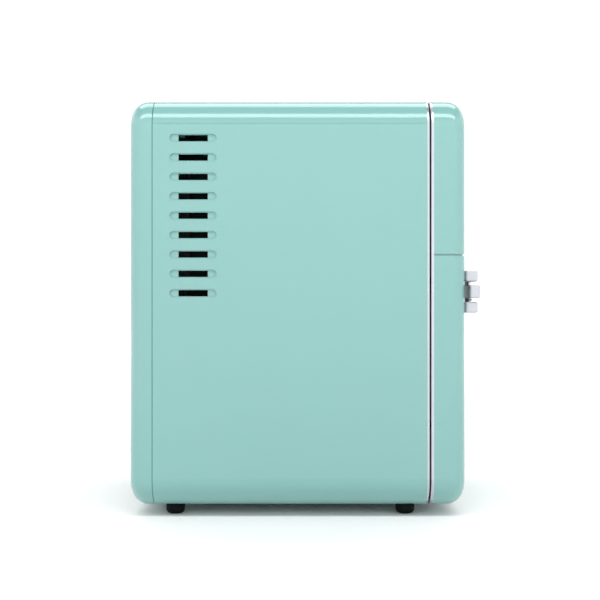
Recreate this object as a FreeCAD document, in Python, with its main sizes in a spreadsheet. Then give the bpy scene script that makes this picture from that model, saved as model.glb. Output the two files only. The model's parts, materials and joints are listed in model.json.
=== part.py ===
import FreeCAD, Part

import math
import os
import re

import Sketcher
from FreeCAD import Placement, Rotation, Vector

# A countertop mini fridge, cooled and warmed by a thermoelectric module.
# +Z is up, the door faces -Y, and the origin is under the middle of the whole
# object, on the surface it stands on. All sizes are millimetres.

DIMENSIONS = {
    # Shared small sizes: how far a cutting tool runs past a face, and running gaps.
    "overcut": 1,
    "pin_gap": 0.02,
    "space_gap": 0.2,
    # Cabinet envelope: a rounded rectangle seen from the front.
    "body_width": 190,
    "body_height": 274,
    "body_bottom": 7,
    "corner_radius": 20,
    "edge_radius": 12,
    "skin_wall": 2.2,
    "fit_gap": 0.2,
    "close_gap": 0.1,
    # Depths of the stacked casings, from the rear face to the door's front.
    "rear_face": 117.775,
    "rear_cover_depth": 16.1,
    "shell_depth": 183,
    "trim_depth": 1.5,
    "door_gap": 0.9,
    "door_trim_depth": 2,
    "door_depth": 22.05,
    "trim_width": 10,
    "trim_edge": 1,
    "trim_lip": 0.5,
    # Louvres in both sides of the cabinet.
    "louvre_count": 9,
    "louvre_pitch": 12.9,
    "louvre_base": 150.5,
    "louvre_station": 74.5,
    "louvre_length": 19.5,
    "louvre_opening": 4.2,
    "louvre_dish_length": 31.2,
    "louvre_dish_height": 5.4,
    "louvre_dish_depth": 1.1,
    "parting_round": 0.35,
    # Crease along the upper sides.
    "crease_height": 263.2,
    "crease_width": 1,
    "crease_depth": 0.4,
    # Screws and the posts they enter.
    "screw_radius": 1.5,
    "screw_hole": 1.6,
    "head_radius": 2.8,
    "head_height": 1.8,
    "cover_screw_inset": 20,
    "cover_screw_length": 16,
    "post_radius": 4.6,
    "post_length": 20,
    "post_web": 3,
    "post_floor": 3,
    "well_radius": 3.8,
    "well_floor": 4,
    # Feet.
    "foot_radius": 6.5,
    "foot_round": 3.4,
    "foot_stem": 2.7,
    "foot_bulb": 3.4,
    "foot_bulb_length": 2,
    "foot_snap_gap": 0.1,
    "foot_spread": 71,
    "foot_rear": 88.8,
    "foot_front": 68.6,
    # Storage cavity.
    "cavity_width": 142,
    "cavity_height": 210,
    "cavity_depth": 118,
    "cavity_corner": 14,
    "cavity_back_round": 8,
    "liner_wall": 1.6,
    "ledge_height": 138,
    "ledge_width": 4,
    "ledge_thickness": 3,
    "ledge_setback": 30,
    # Shelf.
    "shelf_thickness": 3,
    "shelf_depth": 74,
    "shelf_slot_count": 13,
    "shelf_slot_pitch": 9.6,
    "shelf_slot_width": 4,
    "shelf_slot_length": 52,
    "shelf_side_gap": 0.6,
    "shelf_back_gap": 3,
    "shelf_corner": 6,
    "shelf_edge": 0.8,
    # Thermoelectric stack, from the cavity to the rear.
    "stack_height": 194,
    "module_side": 40,
    "module_thickness": 3.6,
    "block_thickness": 14,
    "cold_base_side": 84,
    "cold_base_thickness": 4,
    "cold_fin_height": 10,
    "cold_fin_count": 14,
    "hot_base_width": 96,
    "hot_base_height": 108,
    "hot_base_thickness": 5,
    "hot_fin_height": 22.65,
    "hot_fin_count": 16,
    "fin_pitch": 6,
    "fin_thickness": 1.2,
    "clamp_across": 30,
    "clamp_up": 34,
    "clamp_head": 2.2,
    # Fans: the frame's side and depth, the rotor's hub and blades.
    "rear_fan_side": 80,
    "rear_fan_depth": 15,
    "rear_fan_hub": 13,
    "rear_fan_screw": 36,
    "inner_fan_side": 40,
    "inner_fan_depth": 10,
    "inner_fan_hub": 8,
    "fan_rim": 2,
    "fan_tip_gap": 1.6,
    "fan_blade_count": 7,
    "fan_blade_thickness": 1.2,
    "fan_shaft": 1.5,
    "fan_bore": 1.55,
    "fan_screw_radius": 2.2,
    "fan_screw_head": 3.4,
    "fan_screw_bite": 5,
    "inner_fan_screw": 16,
    "inner_fan_hole": 1.3,
    "fan_corner": 4,
    "fan_strut_width": 3,
    "fan_strut_depth": 2.4,
    "fan_sleeve": 3.2,
    "fan_sleeve_setback": 3.4,
    "fan_hub_setback": 1,
    "fan_hub_round": 1,
    "fan_hub_wall": 1.6,
    "fan_hub_depth_loss": 4.2,
    "fan_shaft_loss": 3.4,
    "fan_blade_margin": 2.4,
    "fan_blade_rise": 0.9,
    # Cover over the inner fan.
    "shroud_side": 92,
    "shroud_wall": 1.6,
    "shroud_depth": 28,
    "shroud_corner": 8,
    "shroud_round": 2.4,
    "shroud_grille_radius": 11.5,
    "shroud_grille_length": 11,
    "shroud_vent_length": 10,
    "shroud_vent_height": 4,
    "shroud_vent_pitch": 10,
    "shroud_vent_count": 7,
    "shroud_vent_setback": 9,
    # Grille in the rear cover.
    "grille_inner_count": 12,
    "grille_outer_count": 24,
    "grille_slot_width": 3.4,
    "grille_inner_radius": 15.5,
    "grille_inner_length": 12,
    "grille_outer_radius": 31,
    "grille_outer_length": 14,
    # Electrical fittings, in a row low on the rear cover.
    "fitting_height": 46,
    "fitting_spacing": 34,
    "fitting_depth": 18,
    "fitting_wall": 3,
    "flange_rim": 4.5,
    "flange_corner": 2.5,
    "flange_thickness": 1.6,
    "panel_width": 118,
    "panel_height": 38,
    "panel_depth": 3.2,
    "mains_length": 16.4,
    "mains_height": 9,
    "mains_pin": 1.2,
    "mains_spacing": 4.3,
    "supply_length": 20,
    "supply_height": 9,
    "supply_pin": 1.3,
    "supply_spacing": 5,
    "socket_depth": 13,
    "pin_root": 3,
    "pin_setback": 2,
    "switch_width": 15,
    "switch_height": 25,
    "switch_step": 1,
    "rocker_width": 10.6,
    "rocker_half": 9.2,
    "rocker_face_share": 0.86,
    "rocker_pin": 1.2,
    "rocker_pin_reach": 1.2,
    "rocker_pin_gap": 0.05,
    "rocker_pivot": 3,
    "rocker_back": 3,
    "rocker_front": 5.4,
    "rocker_middle": 4.2,
    "rocker_side_gap": 0.4,
    "rocker_end_gap": 1,
    "rocker_well": 9,
    "switch_rim": 1.5,
    "switch_corner": 2,
    "switch_barrel_depth": 14,
    # Power board on the cabinet floor.
    "board_width": 100,
    "board_depth": 38,
    "board_thickness": 1.6,
    "board_station": 77,
    "board_height": 20,
    "board_post": 3,
    "board_inset": 5,
    "board_screw_length": 8,
    "transformer_width": 22,
    "transformer_depth": 20,
    "transformer_height": 13,
    "transformer_place": 25,
    "choke_radius": 7,
    "choke_height": 9,
    "choke_place": 28,
    "choke_setback": 6,
    "capacitor_radius": 5,
    "capacitor_height": 12.5,
    "capacitor_place": 2,
    "capacitor_pitch": 13,
    "capacitor_setback": 9,
    "regulator_width": 14,
    "regulator_depth": 4,
    "regulator_height": 12,
    "regulator_place": 27,
    "regulator_setback": 12,
    # Hinge along the right edge of the door.
    "hinge_inset": 4.6,
    "hinge_setback": 13,
    "hinge_offset": 105,
    "hinge_plate": 2,
    "hinge_eye": 3.2,
    "hinge_pin_radius": 1.5,
    "hinge_bore": 1.55,
    "hinge_pin_half": 9,
    "hinge_slot_half": 1.6,
    "hinge_block_width": 12,
    "hinge_block_half": 11,
    "hinge_foot_width": 18,
    "hinge_foot_depth": 20,
    "hinge_side_gap": 0.7,
    "hinge_swing_gap": 1.6,
    "hinge_shank_gap": 0.3,
    "hinge_block_front": 5.5,
    "hinge_screw_inset": 5,
    "hinge_screw_spacing": 10,
    "hinge_screw_length": 9,
    "anchor_thickness": 12,
    # Door furniture.
    "split_height": 176.1,
    "split_width": 1.2,
    "split_depth": 1.15,
    "rib_count": 7,
    "rib_pitch": 12.82,
    "rib_base": 189.8,
    "rib_length": 146,
    "rib_width": 4,
    "rib_depth": 0.5,
    "dyke_width": 128,
    "dyke_height": 190,
    "dyke_depth": 12,
    "dyke_bar": 8,
    "dyke_corner": 12,
    "dyke_inner_corner": 6,
    "dyke_round": 2,
    "gasket_inset": 11.5,
    "gasket_width": 7,
    "gasket_clearance": 0.1,
    "gasket_corner": 4,
    "gasket_round": 1,
    "magnet_width": 4,
    "magnet_half": 12,
    "magnet_depth": 2,
    "magnet_offset": 0.8,
    "strike_half": 14,
    "strike_thickness": 1.2,
    # Door bins.
    "bin_width": 106.8,
    "bin_depth": 35,
    "bin_height": 40,
    "bin_wall": 1.8,
    "bin_corner": 6,
    "bin_round": 1.5,
    "bin_gap": 0.4,
    "bin_window_inset": 12,
    "bin_window_height": 12,
    "bin_window_corner": 4,
    "bin_ear_height": 3,
    "bin_ear_half": 3,
    "lower_bin_base": 62,
    "upper_bin_base": 150,
    "peg_radius": 2.2,
    "peg_length": 2.4,
    "peg_height": 28,
    "peg_standoff": 6.5,
    # Latch handle.
    "latch_height": 151.6,
    "latch_outer": 86,
    "latch_inner": 52,
    "latch_cheek": 7.5,
    "latch_cheek_offset": 10.55,
    "latch_proud": 8.85,
    "web_standoff": 2.9,
    "web_thickness": 4.1,
    "lever_height": 8.8,
    "lever_thickness": 7.1,
    "lever_length": 25,
    "lever_pivot": 60,
    "lever_round": 1,
    "lever_corner": 2.2,
    "cheek_corner": 2.4,
    "cheek_round": 1.2,
    "web_width": 3,
    "web_inset": 0.6,
    "latch_screw_inset": 4,
    "latch_screw_length": 4.5,
    "recess_width": 24,
    "recess_height": 18,
    "recess_depth": 8,
    "recess_corner": 6,
    "recess_round": 4,
    "recess_wall": 2,
    "latch_pin_radius": 1.5,
    "latch_bore": 1.55,
    "spring_wire": 0.3,
    "spring_pitch": 0.75,
    "spring_turns": 2,
}

doc = FreeCAD.newDocument("mini_fridge")
sheet = doc.addObject("Spreadsheet::Sheet", "Dimensions")
for row, (alias, size) in enumerate(DIMENSIONS.items(), start=1):
    sheet.set(f"A{row}", alias)
    sheet.set(f"B{row}", str(size))
    sheet.setAlias(f"B{row}", alias)
doc.recompute()

# Stations along Y and Z, as formulas over the sheet.
PARTING = "(rear_face - rear_cover_depth)"
SHELL_FRONT = f"({PARTING} - shell_depth)"
TRIM_FRONT = f"({SHELL_FRONT} - trim_depth)"
DOOR_REAR = f"({TRIM_FRONT} - door_gap)"
SKIN_REAR = f"({DOOR_REAR} - door_trim_depth)"
DOOR_FRONT = f"({SKIN_REAR} - door_depth)"
MIDDLE = "(body_bottom + body_height / 2)"
CAVITY_BACK = f"({SHELL_FRONT} + cavity_depth)"
LINER_BACK = f"({CAVITY_BACK} + liner_wall)"
BLOCK_REAR = f"({CAVITY_BACK} + block_thickness)"
MODULE_REAR = f"({BLOCK_REAR} + module_thickness)"
HOT_BASE_REAR = f"({MODULE_REAR} + hot_base_thickness)"
FIN_TIPS = f"({HOT_BASE_REAR} + hot_fin_height)"
COLD_BASE_FRONT = f"({CAVITY_BACK} - cold_base_thickness)"
COLD_TIPS = f"({COLD_BASE_FRONT} - cold_fin_height)"
FITTING_FACE = "(rear_face - panel_depth)"
INSIDE = "(skin_wall + fit_gap)"
HINGE_X = "(body_width / 2 - hinge_inset)"
HINGE_Y = f"({DOOR_REAR} - hinge_setback)"
LEVER_Y = f"({DOOR_FRONT} - web_standoff - lever_thickness / 2)"
RECESS_X = "(-latch_outer + recess_width / 2 - 1)"

TOUCHING = 0.01
VOLUME_CHANGE = 1e-3

nodes = []


def bound(formula):
    """The formula with every alias pointing at the sheet."""
    return re.sub(
        r"[a-z][a-z_]*",
        lambda word: "Dimensions." + word.group() if word.group() in DIMENSIONS else word.group(),
        formula,
    )


def number(formula):
    """The formula's present value."""
    return float(sheet.evalExpression(bound(formula)))


def bind(item, path, formula):
    """Ties one property of an object to the sheet."""
    item.setExpression(path, bound(formula))


def node(item, name):
    """Registers a finished sub-part under the name of its file."""
    item.Label = name
    nodes.append(item)
    return item


# Part primitives and booleans.


def block(name, across, along, up):
    """A box between two formulas on each axis."""
    item = doc.addObject("Part::Box", name)
    for size, axis, (low, high) in zip(("Length", "Width", "Height"), "xyz", (across, along, up)):
        bind(item, size, f"({high}) - ({low})")
        bind(item, f"Placement.Base.{axis}", low)
    return item


def centred(name, across, along, up, where=("0", "0", "0")):
    """A box of the given sizes around a point."""
    spans = [(f"{place} - ({size}) / 2", f"{place} + ({size}) / 2")
             for place, size in zip(where, (across, along, up))]
    return block(name, *spans)


TURNS = {
    "x": Rotation(Vector(0, 1, 0), 90),
    "y": Rotation(Vector(1, 0, 0), -90),
    "z": Rotation(),
}


def rod(name, axis, start, end, radius, where):
    """A cylinder along an axis from start to end; where holds its other two coordinates."""
    item = doc.addObject("Part::Cylinder", name)
    item.Placement = Placement(Vector(), TURNS[axis])
    bind(item, "Radius", radius)
    bind(item, "Height", f"({end}) - ({start})")
    bind(item, f"Placement.Base.{axis}", start)
    for other, place in zip([letter for letter in "xyz" if letter != axis], where):
        bind(item, f"Placement.Base.{other}", place)
    return item


def join(name, items):
    item = doc.addObject("Part::MultiFuse", name)
    item.Shapes = items
    item.Refine = True
    return item


def cut(name, base, tools):
    """The base less every tool. A tool that removes nothing is an error."""
    tool = tools[0] if len(tools) == 1 else join(name + "_tools", tools)
    item = doc.addObject("Part::Cut", name)
    item.Base = base
    item.Tool = tool
    doc.recompute()
    if item.Shape.isNull() or item.Shape.Volume > base.Shape.Volume - VOLUME_CHANGE:
        raise RuntimeError(f"{name}: the cut removed nothing")
    return item


def group(name, items):
    """Separate solids that share one node."""
    item = doc.addObject("Part::Compound", name)
    item.Links = items
    return item


# PartDesign bodies and sketches.


def new_body(name):
    return doc.addObject("PartDesign::Body", name)


def sketch_on(body, role, name, offsets):
    """A sketch on one of the body's own planes, moved by formulas along its axes and normal."""
    sketch = body.newObject("Sketcher::SketchObject", name)
    plane = [feature for feature in body.Origin.OriginFeatures if feature.Role == role][0]
    sketch.AttachmentSupport = [(plane, "")]
    sketch.MapMode = "FlatFace"
    for axis, offset in zip("xyz", offsets):
        bind(sketch, f"AttachmentOffset.Base.{axis}", offset)
    return sketch


def front_sketch(body, name, y, x="0", z=MIDDLE):
    """A sketch that faces -Y: its axes are X and Z."""
    return sketch_on(body, "XZ_Plane", name, (x, z, f"-({y})"))


def side_sketch(body, name, x, y, z):
    """A sketch that faces +X: its axes are Y and Z."""
    return sketch_on(body, "YZ_Plane", name, (y, z, x))


def plan_sketch(body, name, z, x="0", y="0"):
    """A sketch that faces +Z: its axes are X and Y."""
    return sketch_on(body, "XY_Plane", name, (x, y, z))


def constrain(sketch, *terms, formula=None):
    if formula is None:
        return sketch.addConstraint(Sketcher.Constraint(*terms))
    index = sketch.addConstraint(Sketcher.Constraint(*terms, number(formula)))
    sketch.setExpression(f"Constraints[{index}]", bound(formula))
    return index


def rounded_rectangle(sketch, width, height, radius):
    """A rectangle with four equal round corners about the sketch's origin."""
    first = sketch.GeometryCount
    round_size = number(radius)
    across = number(width) / 2 - round_size
    up = number(height) / 2 - round_size
    centres = [Vector(across, up), Vector(-across, up), Vector(-across, -up), Vector(across, -up)]
    quarter = math.pi / 2
    for corner, centre in enumerate(centres):
        circle_here = Part.Circle(centre, Vector(0, 0, 1), round_size)
        arc = Part.ArcOfCircle(circle_here, corner * quarter, (corner + 1) * quarter)
        following = centres[(corner + 1) % 4]
        outward = Rotation(Vector(0, 0, 1), 90 * (corner + 1)).multVec(Vector(round_size, 0))
        sketch.addGeometry(arc)
        sketch.addGeometry(Part.LineSegment(centre + outward, following + outward))
    for corner in range(4):
        arc, line, following = (first + (2 * corner + step) % 8 for step in range(3))
        constrain(sketch, "Tangent", arc, 2, line, 1)
        constrain(sketch, "Tangent", line, 2, following, 1)
        constrain(sketch, "Vertical" if corner % 2 else "Horizontal", line)
        if corner:
            constrain(sketch, "Equal", first, arc)
    constrain(sketch, "Symmetric", first, 3, first + 4, 3, -1, 1)
    constrain(sketch, "DistanceX", first + 3, 1, first + 7, 1, formula=width)
    constrain(sketch, "DistanceY", first + 5, 1, first + 1, 1, formula=height)
    constrain(sketch, "Radius", first, formula=radius)


def stadium(sketch, length, height, middle=None):
    """A slot with round ends along the sketch's first axis, about its origin or a point on that axis."""
    first = sketch.GeometryCount
    radius = number(height) / 2
    offset = number(middle) if middle else 0
    left_end = offset - number(length) / 2 + radius
    right_end = offset + number(length) / 2 - radius
    right = Part.Circle(Vector(right_end, 0), Vector(0, 0, 1), radius)
    left = Part.Circle(Vector(left_end, 0), Vector(0, 0, 1), radius)
    sketch.addGeometry(Part.ArcOfCircle(right, -math.pi / 2, math.pi / 2))
    sketch.addGeometry(Part.LineSegment(Vector(right_end, radius), Vector(left_end, radius)))
    sketch.addGeometry(Part.ArcOfCircle(left, math.pi / 2, 3 * math.pi / 2))
    sketch.addGeometry(Part.LineSegment(Vector(left_end, -radius), Vector(right_end, -radius)))
    for step in range(4):
        constrain(sketch, "Tangent", first + step, 2, first + (step + 1) % 4, 1)
    constrain(sketch, "Horizontal", first + 1)
    constrain(sketch, "Horizontal", first + 3)
    constrain(sketch, "Radius", first, formula=f"({height}) / 2")
    if middle:
        constrain(sketch, "PointOnObject", first, 3, -1)
        constrain(sketch, "DistanceX", -1, 1, first + 2, 3,
                  formula=f"({middle}) - ({length}) / 2 + ({height}) / 2")
        constrain(sketch, "DistanceX", -1, 1, first, 3,
                  formula=f"({middle}) + ({length}) / 2 - ({height}) / 2")
    else:
        constrain(sketch, "Symmetric", first, 3, first + 2, 3, -1, 1)
        constrain(sketch, "DistanceX", first + 2, 3, first, 3, formula=f"({length}) - ({height})")


def outline(sketch, points):
    """A closed outline of straight lines through points given as pairs of formulas."""
    first = sketch.GeometryCount
    places = [Vector(number(across), number(up)) for across, up in points]
    count = len(places)
    for step in range(count):
        sketch.addGeometry(Part.LineSegment(places[step], places[(step + 1) % count]))
    for step in range(count):
        constrain(sketch, "Coincident", first + step, 2, first + (step + 1) % count, 1)
    for step, (across, up) in enumerate(points):
        for kind, axis, formula in (("DistanceX", -2, across), ("DistanceY", -1, up)):
            if abs(number(formula)) < 1e-9:
                constrain(sketch, "PointOnObject", first + step, 1, axis)
            else:
                constrain(sketch, kind, -1, 1, first + step, 1, formula=formula)


def rectangle(sketch, width, height):
    """A plain rectangle about the sketch's origin."""
    half_width = f"({width}) / 2"
    half_height = f"({height}) / 2"
    outline(sketch, [
        (half_width, half_height),
        (f"-{half_width}", half_height),
        (f"-{half_width}", f"-{half_height}"),
        (half_width, f"-{half_height}"),
    ])


def ring(sketch, radius, across=None):
    """A circle about the sketch's origin, or about a point along its first axis."""
    centre = Vector(number(across), 0) if across else Vector()
    sketch.addGeometry(Part.Circle(centre, Vector(0, 0, 1), number(radius)))
    index = sketch.GeometryCount - 1
    if across:
        constrain(sketch, "PointOnObject", index, 3, -1)
        constrain(sketch, "DistanceX", -1, 1, index, 3, formula=across)
    else:
        constrain(sketch, "Coincident", index, 3, -1, 1)
    constrain(sketch, "Radius", index, formula=radius)


def pad(body, sketch, length, backwards=False):
    """Adds material along the sketch's normal, or against it."""
    feature = body.newObject("PartDesign::Pad", sketch.Name + "_pad")
    feature.Profile = sketch
    bind(feature, "Length", length)
    feature.Reversed = backwards
    doc.recompute()
    return feature


def pocket(body, sketch, depth=None, forwards=False, both=False):
    """Removes material against the sketch's normal, or along it, or right through both ways."""
    before = body.Shape.Volume
    feature = body.newObject("PartDesign::Pocket", sketch.Name + "_pocket")
    feature.Profile = sketch
    feature.Reversed = forwards
    if depth is None:
        feature.Type = "ThroughAll"
    else:
        bind(feature, "Length", depth)
    if both:
        feature.SideType = "Symmetric"
    doc.recompute()
    if body.Shape.Volume > before - VOLUME_CHANGE:
        raise RuntimeError(f"{feature.Name} cut nothing")
    return feature


def repeat_line(body, feature, sketch, axis, pitch, count):
    """Copies a feature along one axis of its sketch."""
    pattern = body.newObject("PartDesign::LinearPattern", feature.Name + "_row")
    pattern.Originals = [feature]
    pattern.Direction = (sketch, [axis])
    bind(pattern, "Length", f"({pitch}) * ({count} - 1)")
    bind(pattern, "Occurrences", count)
    body.Tip = pattern
    doc.recompute()
    return pattern


def repeat_round(body, feature, sketch, count, angle=360):
    """Copies a feature about its sketch's normal."""
    pattern = body.newObject("PartDesign::PolarPattern", feature.Name + "_ring")
    pattern.Originals = [feature]
    pattern.Axis = (sketch, ["N_Axis"])
    pattern.Angle = angle
    bind(pattern, "Occurrences", count)
    body.Tip = pattern
    doc.recompute()
    return pattern


def soften(body, radius, chosen):
    """Rounds the edges that the test picks out."""
    base = body.Tip
    names = [f"Edge{index}" for index, edge in enumerate(base.Shape.Edges, start=1) if chosen(edge)]
    if not names:
        raise RuntimeError(f"{body.Name}: no edge to round")
    feature = body.newObject("PartDesign::Fillet", body.Name + "_round")
    feature.Base = (base, names)
    bind(feature, "Radius", radius)
    body.Tip = feature
    doc.recompute()
    if "Invalid" in feature.State:
        raise RuntimeError(f"{feature.Name}: the round failed")
    return feature


def flat_at(axis, place):
    """A test for edges that lie wholly at one station on an axis."""
    def chosen(edge):
        box = edge.BoundBox
        low, high = {"y": (box.YMin, box.YMax), "z": (box.ZMin, box.ZMax)}[axis]
        return abs(low - place) < TOUCHING and abs(high - place) < TOUCHING
    return chosen


def outer_loop(station):
    """A test for the edges round the outside of the body at one station along Y."""
    at_station = flat_at("y", station)
    margin = number("skin_wall") / 2

    def chosen(edge):
        box = edge.BoundBox
        outside = (max(abs(box.XMin), abs(box.XMax)) > number("body_width") / 2 - margin
                   or box.ZMax > number("body_bottom + body_height") - margin
                   or box.ZMin < number("body_bottom") + margin)
        return at_station(edge) and outside
    return chosen


def casing(body, station, depth, open_rear):
    """A shallow rounded tray: outer block, hollow, then the inner and outer edge rounds."""
    outer = front_sketch(body, body.Name + "_outer", station)
    rounded_rectangle(outer, "body_width", "body_height", "corner_radius")
    pad(body, outer, depth, backwards=not open_rear)
    hollow = front_sketch(body, body.Name + "_hollow", station)
    rounded_rectangle(hollow, "body_width - 2 * skin_wall", "body_height - 2 * skin_wall",
                      "corner_radius - skin_wall")
    pocket(body, hollow, f"({depth}) - skin_wall", forwards=open_rear)
    away = -1 if open_rear else 1
    floor = number(station) + away * (number(depth) - number("skin_wall"))
    soften(body, "edge_radius - skin_wall", flat_at("y", floor))
    soften(body, "edge_radius", flat_at("y", number(station) + away * number(depth)))


def screw(name, axis, place, tip, head_at, where, radius="screw_radius", head="head_radius"):
    """A pan-head screw: place is under the head, tip is the far end, head_at is the head's top."""
    low, high = (tip, place) if number(tip) < number(place) else (place, tip)
    shank = rod(name + "_shank", axis, low, high, radius, where)
    low, high = (place, head_at) if number(place) < number(head_at) else (head_at, place)
    cap = rod(name + "_cap", axis, low, high, head, where)
    return join(name, [shank, cap])


def corners(across, up, x="0", z=MIDDLE):
    """The four corner places about a point in X and Z."""
    return [(f"{x} + ({side}) * ({across})", f"{z} + ({level}) * ({up})")
            for side in (-1, 1) for level in (-1, 1)]


# Cabinet.

COVER_SCREWS = corners("body_width / 2 - cover_screw_inset", "body_height / 2 - cover_screw_inset")
FEET = {
    "foot_front_left": ("-foot_spread", "-foot_front"),
    "foot_front_right": ("foot_spread", "-foot_front"),
    "foot_rear_left": ("-foot_spread", "foot_rear"),
    "foot_rear_right": ("foot_spread", "foot_rear"),
}
BOARD_POSTS = [(f"({side}) * (board_width / 2 - board_inset)",
                f"board_station + ({step}) * (board_depth / 2 - board_inset)")
               for side in (-1, 1) for step in (-1, 1)]


def outer_shell():
    """The cabinet's sleeve, with louvres, a crease, cover posts and board posts."""
    body = new_body("shell_sleeve")
    outer = front_sketch(body, "shell_outer", PARTING)
    rounded_rectangle(outer, "body_width", "body_height", "corner_radius")
    pad(body, outer, "shell_depth")
    hollow = front_sketch(body, "shell_hollow", PARTING)
    rounded_rectangle(hollow, "body_width - 2 * skin_wall", "body_height - 2 * skin_wall",
                      "corner_radius - skin_wall")
    pocket(body, hollow, forwards=True)
    soften(body, "parting_round", outer_loop(number(PARTING)))
    slot = side_sketch(body, "louvre_slot", "0", "louvre_station", "louvre_base")
    rectangle(slot, "louvre_length", "louvre_opening")
    opening = pocket(body, slot, both=True)
    repeat_line(body, opening, slot, "V_Axis", "louvre_pitch", "louvre_count")
    for side, name in ((1, "right"), (-1, "left")):
        face = f"({side}) * body_width / 2"
        dish = side_sketch(body, f"louvre_dish_{name}", face, "louvre_station", "louvre_base")
        stadium(dish, "louvre_dish_length", "louvre_dish_height")
        cut_dish = pocket(body, dish, "louvre_dish_depth", forwards=side < 0)
        repeat_line(body, cut_dish, dish, "V_Axis", "louvre_pitch", "louvre_count")
        crease = front_sketch(body, f"crease_{name}", PARTING, face, "crease_height")
        rectangle(crease, "2 * crease_depth", "crease_width")
        pocket(body, crease, forwards=True)
    solids = [body]
    holes = []
    for index, (x, z) in enumerate(COVER_SCREWS):
        solids.append(rod(f"shell_post_{index}", "y", f"{PARTING} - post_length", PARTING,
                          "post_radius", (x, z)))
        side = "1" if number(x) > 0 else "-1"
        wall = f"{side} * (body_width / 2 - skin_wall / 2)"
        ends = (x, wall) if number(x) < number(wall) else (wall, x)
        solids.append(block(f"shell_web_{index}", ends, (f"{PARTING} - post_length", PARTING),
                            (f"{z} - post_web / 2", f"{z} + post_web / 2")))
        holes.append(rod(f"shell_post_hole_{index}", "y", f"{PARTING} - post_length + post_floor",
                         f"{PARTING} + overcut", "screw_hole", (x, z)))
    floor = "body_bottom + skin_wall"
    for index, (x, y) in enumerate(BOARD_POSTS):
        solids.append(rod(f"board_post_{index}", "z", "body_bottom + skin_wall / 2", "board_height",
                          "board_post", (x, y)))
        holes.append(rod(f"board_post_hole_{index}", "z", f"{floor} + post_floor", "board_height + overcut",
                         "screw_hole", (x, y)))
    for name, (x, y) in FEET.items():
        holes.append(rod(name + "_hole", "z", "body_bottom - overcut", f"{floor} + overcut",
                         "foot_stem + foot_snap_gap", (x, y)))
    node(cut("shell_with_posts", join("shell_solids", solids), holes), "outer_shell")


def grille(body, station, x, z, slots):
    """Rings of radial slots through a wall: slots gives each ring's middle, length and count."""
    for index, (radius, length, count) in enumerate(slots):
        sketch = front_sketch(body, f"{body.Name}_grille_{index}", station, x, z)
        stadium(sketch, length, "grille_slot_width", radius)
        slot = pocket(body, sketch, both=True)
        repeat_round(body, slot, sketch, count)


def rear_cover():
    """The rear moulding: fan grille, inlet panel and four screw wells."""
    body = new_body("cover_tray")
    casing(body, PARTING, "rear_cover_depth", open_rear=False)
    soften(body, "parting_round", outer_loop(number(PARTING)))
    grille(body, "rear_face", "0", "stack_height",
           [("grille_inner_radius", "grille_inner_length", "grille_inner_count"),
            ("grille_outer_radius", "grille_outer_length", "grille_outer_count")])
    backing = block("panel_backing", ("-panel_width / 2 - skin_wall", "panel_width / 2 + skin_wall"),
                    (f"{FITTING_FACE} - skin_wall", "rear_face - overcut"),
                    ("fitting_height - panel_height / 2 - skin_wall",
                     "fitting_height + panel_height / 2 + skin_wall"))
    solids = [body, backing]
    holes = [centred("inlet_panel", "panel_width", "2 * panel_depth", "panel_height",
                     ("0", "rear_face", "fitting_height"))]
    for index, (x, z) in enumerate(COVER_SCREWS):
        solids.append(rod(f"cover_post_{index}", "y", PARTING, "rear_face - overcut",
                          "well_radius + skin_wall", (x, z)))
        holes.append(rod(f"cover_well_{index}", "y", f"{PARTING} + well_floor", "rear_face + overcut",
                         "well_radius", (x, z)))
        holes.append(rod(f"cover_hole_{index}", "y", f"{PARTING} - overcut", "rear_face", "screw_hole",
                         (x, z)))
    for name, place, width, height in (
        ("mains", "-fitting_spacing", "mains_length + 2 * fitting_wall", "mains_height + 2 * fitting_wall"),
        ("supply", "0", "supply_length + 2 * fitting_wall", "supply_height + 2 * fitting_wall"),
        ("switch", "fitting_spacing", "switch_width - switch_step", "switch_height - switch_step"),
    ):
        holes.append(centred(f"{name}_cutout", f"{width} + 2 * fit_gap", "2 * rear_cover_depth",
                             f"{height} + 2 * fit_gap", (place, "rear_face", "fitting_height")))
    node(cut("cover_with_wells", join("cover_solids", solids), holes), "rear_cover")


def trim_ring(name, station, depth, lip, edge):
    """A silver ring round the front of the cabinet or the rear of the door."""
    body = new_body(name + "_band")
    sketch = front_sketch(body, name + "_loops", station)
    rounded_rectangle(sketch, "body_width", "body_height", "corner_radius")
    rounded_rectangle(sketch, "body_width - 2 * trim_width", "body_height - 2 * trim_width",
                      "corner_radius - trim_width")
    pad(body, sketch, depth)
    soften(body, edge, outer_loop(number(lip)))
    return body


def foot(name, x, y):
    """A domed rubber foot with a stem that snaps through the cabinet's floor."""
    body = new_body(name + "_body")
    dome = plan_sketch(body, name + "_dome", "0", x, y)
    ring(dome, "foot_radius")
    pad(body, dome, "body_bottom")
    soften(body, "foot_round", flat_at("z", 0))
    stem = plan_sketch(body, name + "_stem", "body_bottom", x, y)
    ring(stem, "foot_stem")
    pad(body, stem, "skin_wall + fit_gap + foot_bulb_length")
    bulb = plan_sketch(body, name + "_bulb", "body_bottom + skin_wall + fit_gap", x, y)
    ring(bulb, "foot_bulb")
    pad(body, bulb, "foot_bulb_length")
    node(body, name)


# Hinge: a steel arm from the cabinet reaches into a slot in the door.

HINGE_LEVELS = {
    "upper": (f"({MIDDLE} + hinge_offset)", -1),
    "lower": (f"({MIDDLE} - hinge_offset)", 1),
}


def hinge_slot(name, level):
    """The slot that the arm swings in, open at the door's rear and right side."""
    return block(name, (f"{HINGE_X} - hinge_eye - hinge_side_gap", "body_width / 2 + overcut"),
                 (f"{HINGE_Y} - hinge_eye - hinge_swing_gap", f"{SHELL_FRONT} + liner_wall + overcut"),
                 (f"{level} - hinge_slot_half", f"{level} + hinge_slot_half"))


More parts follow.
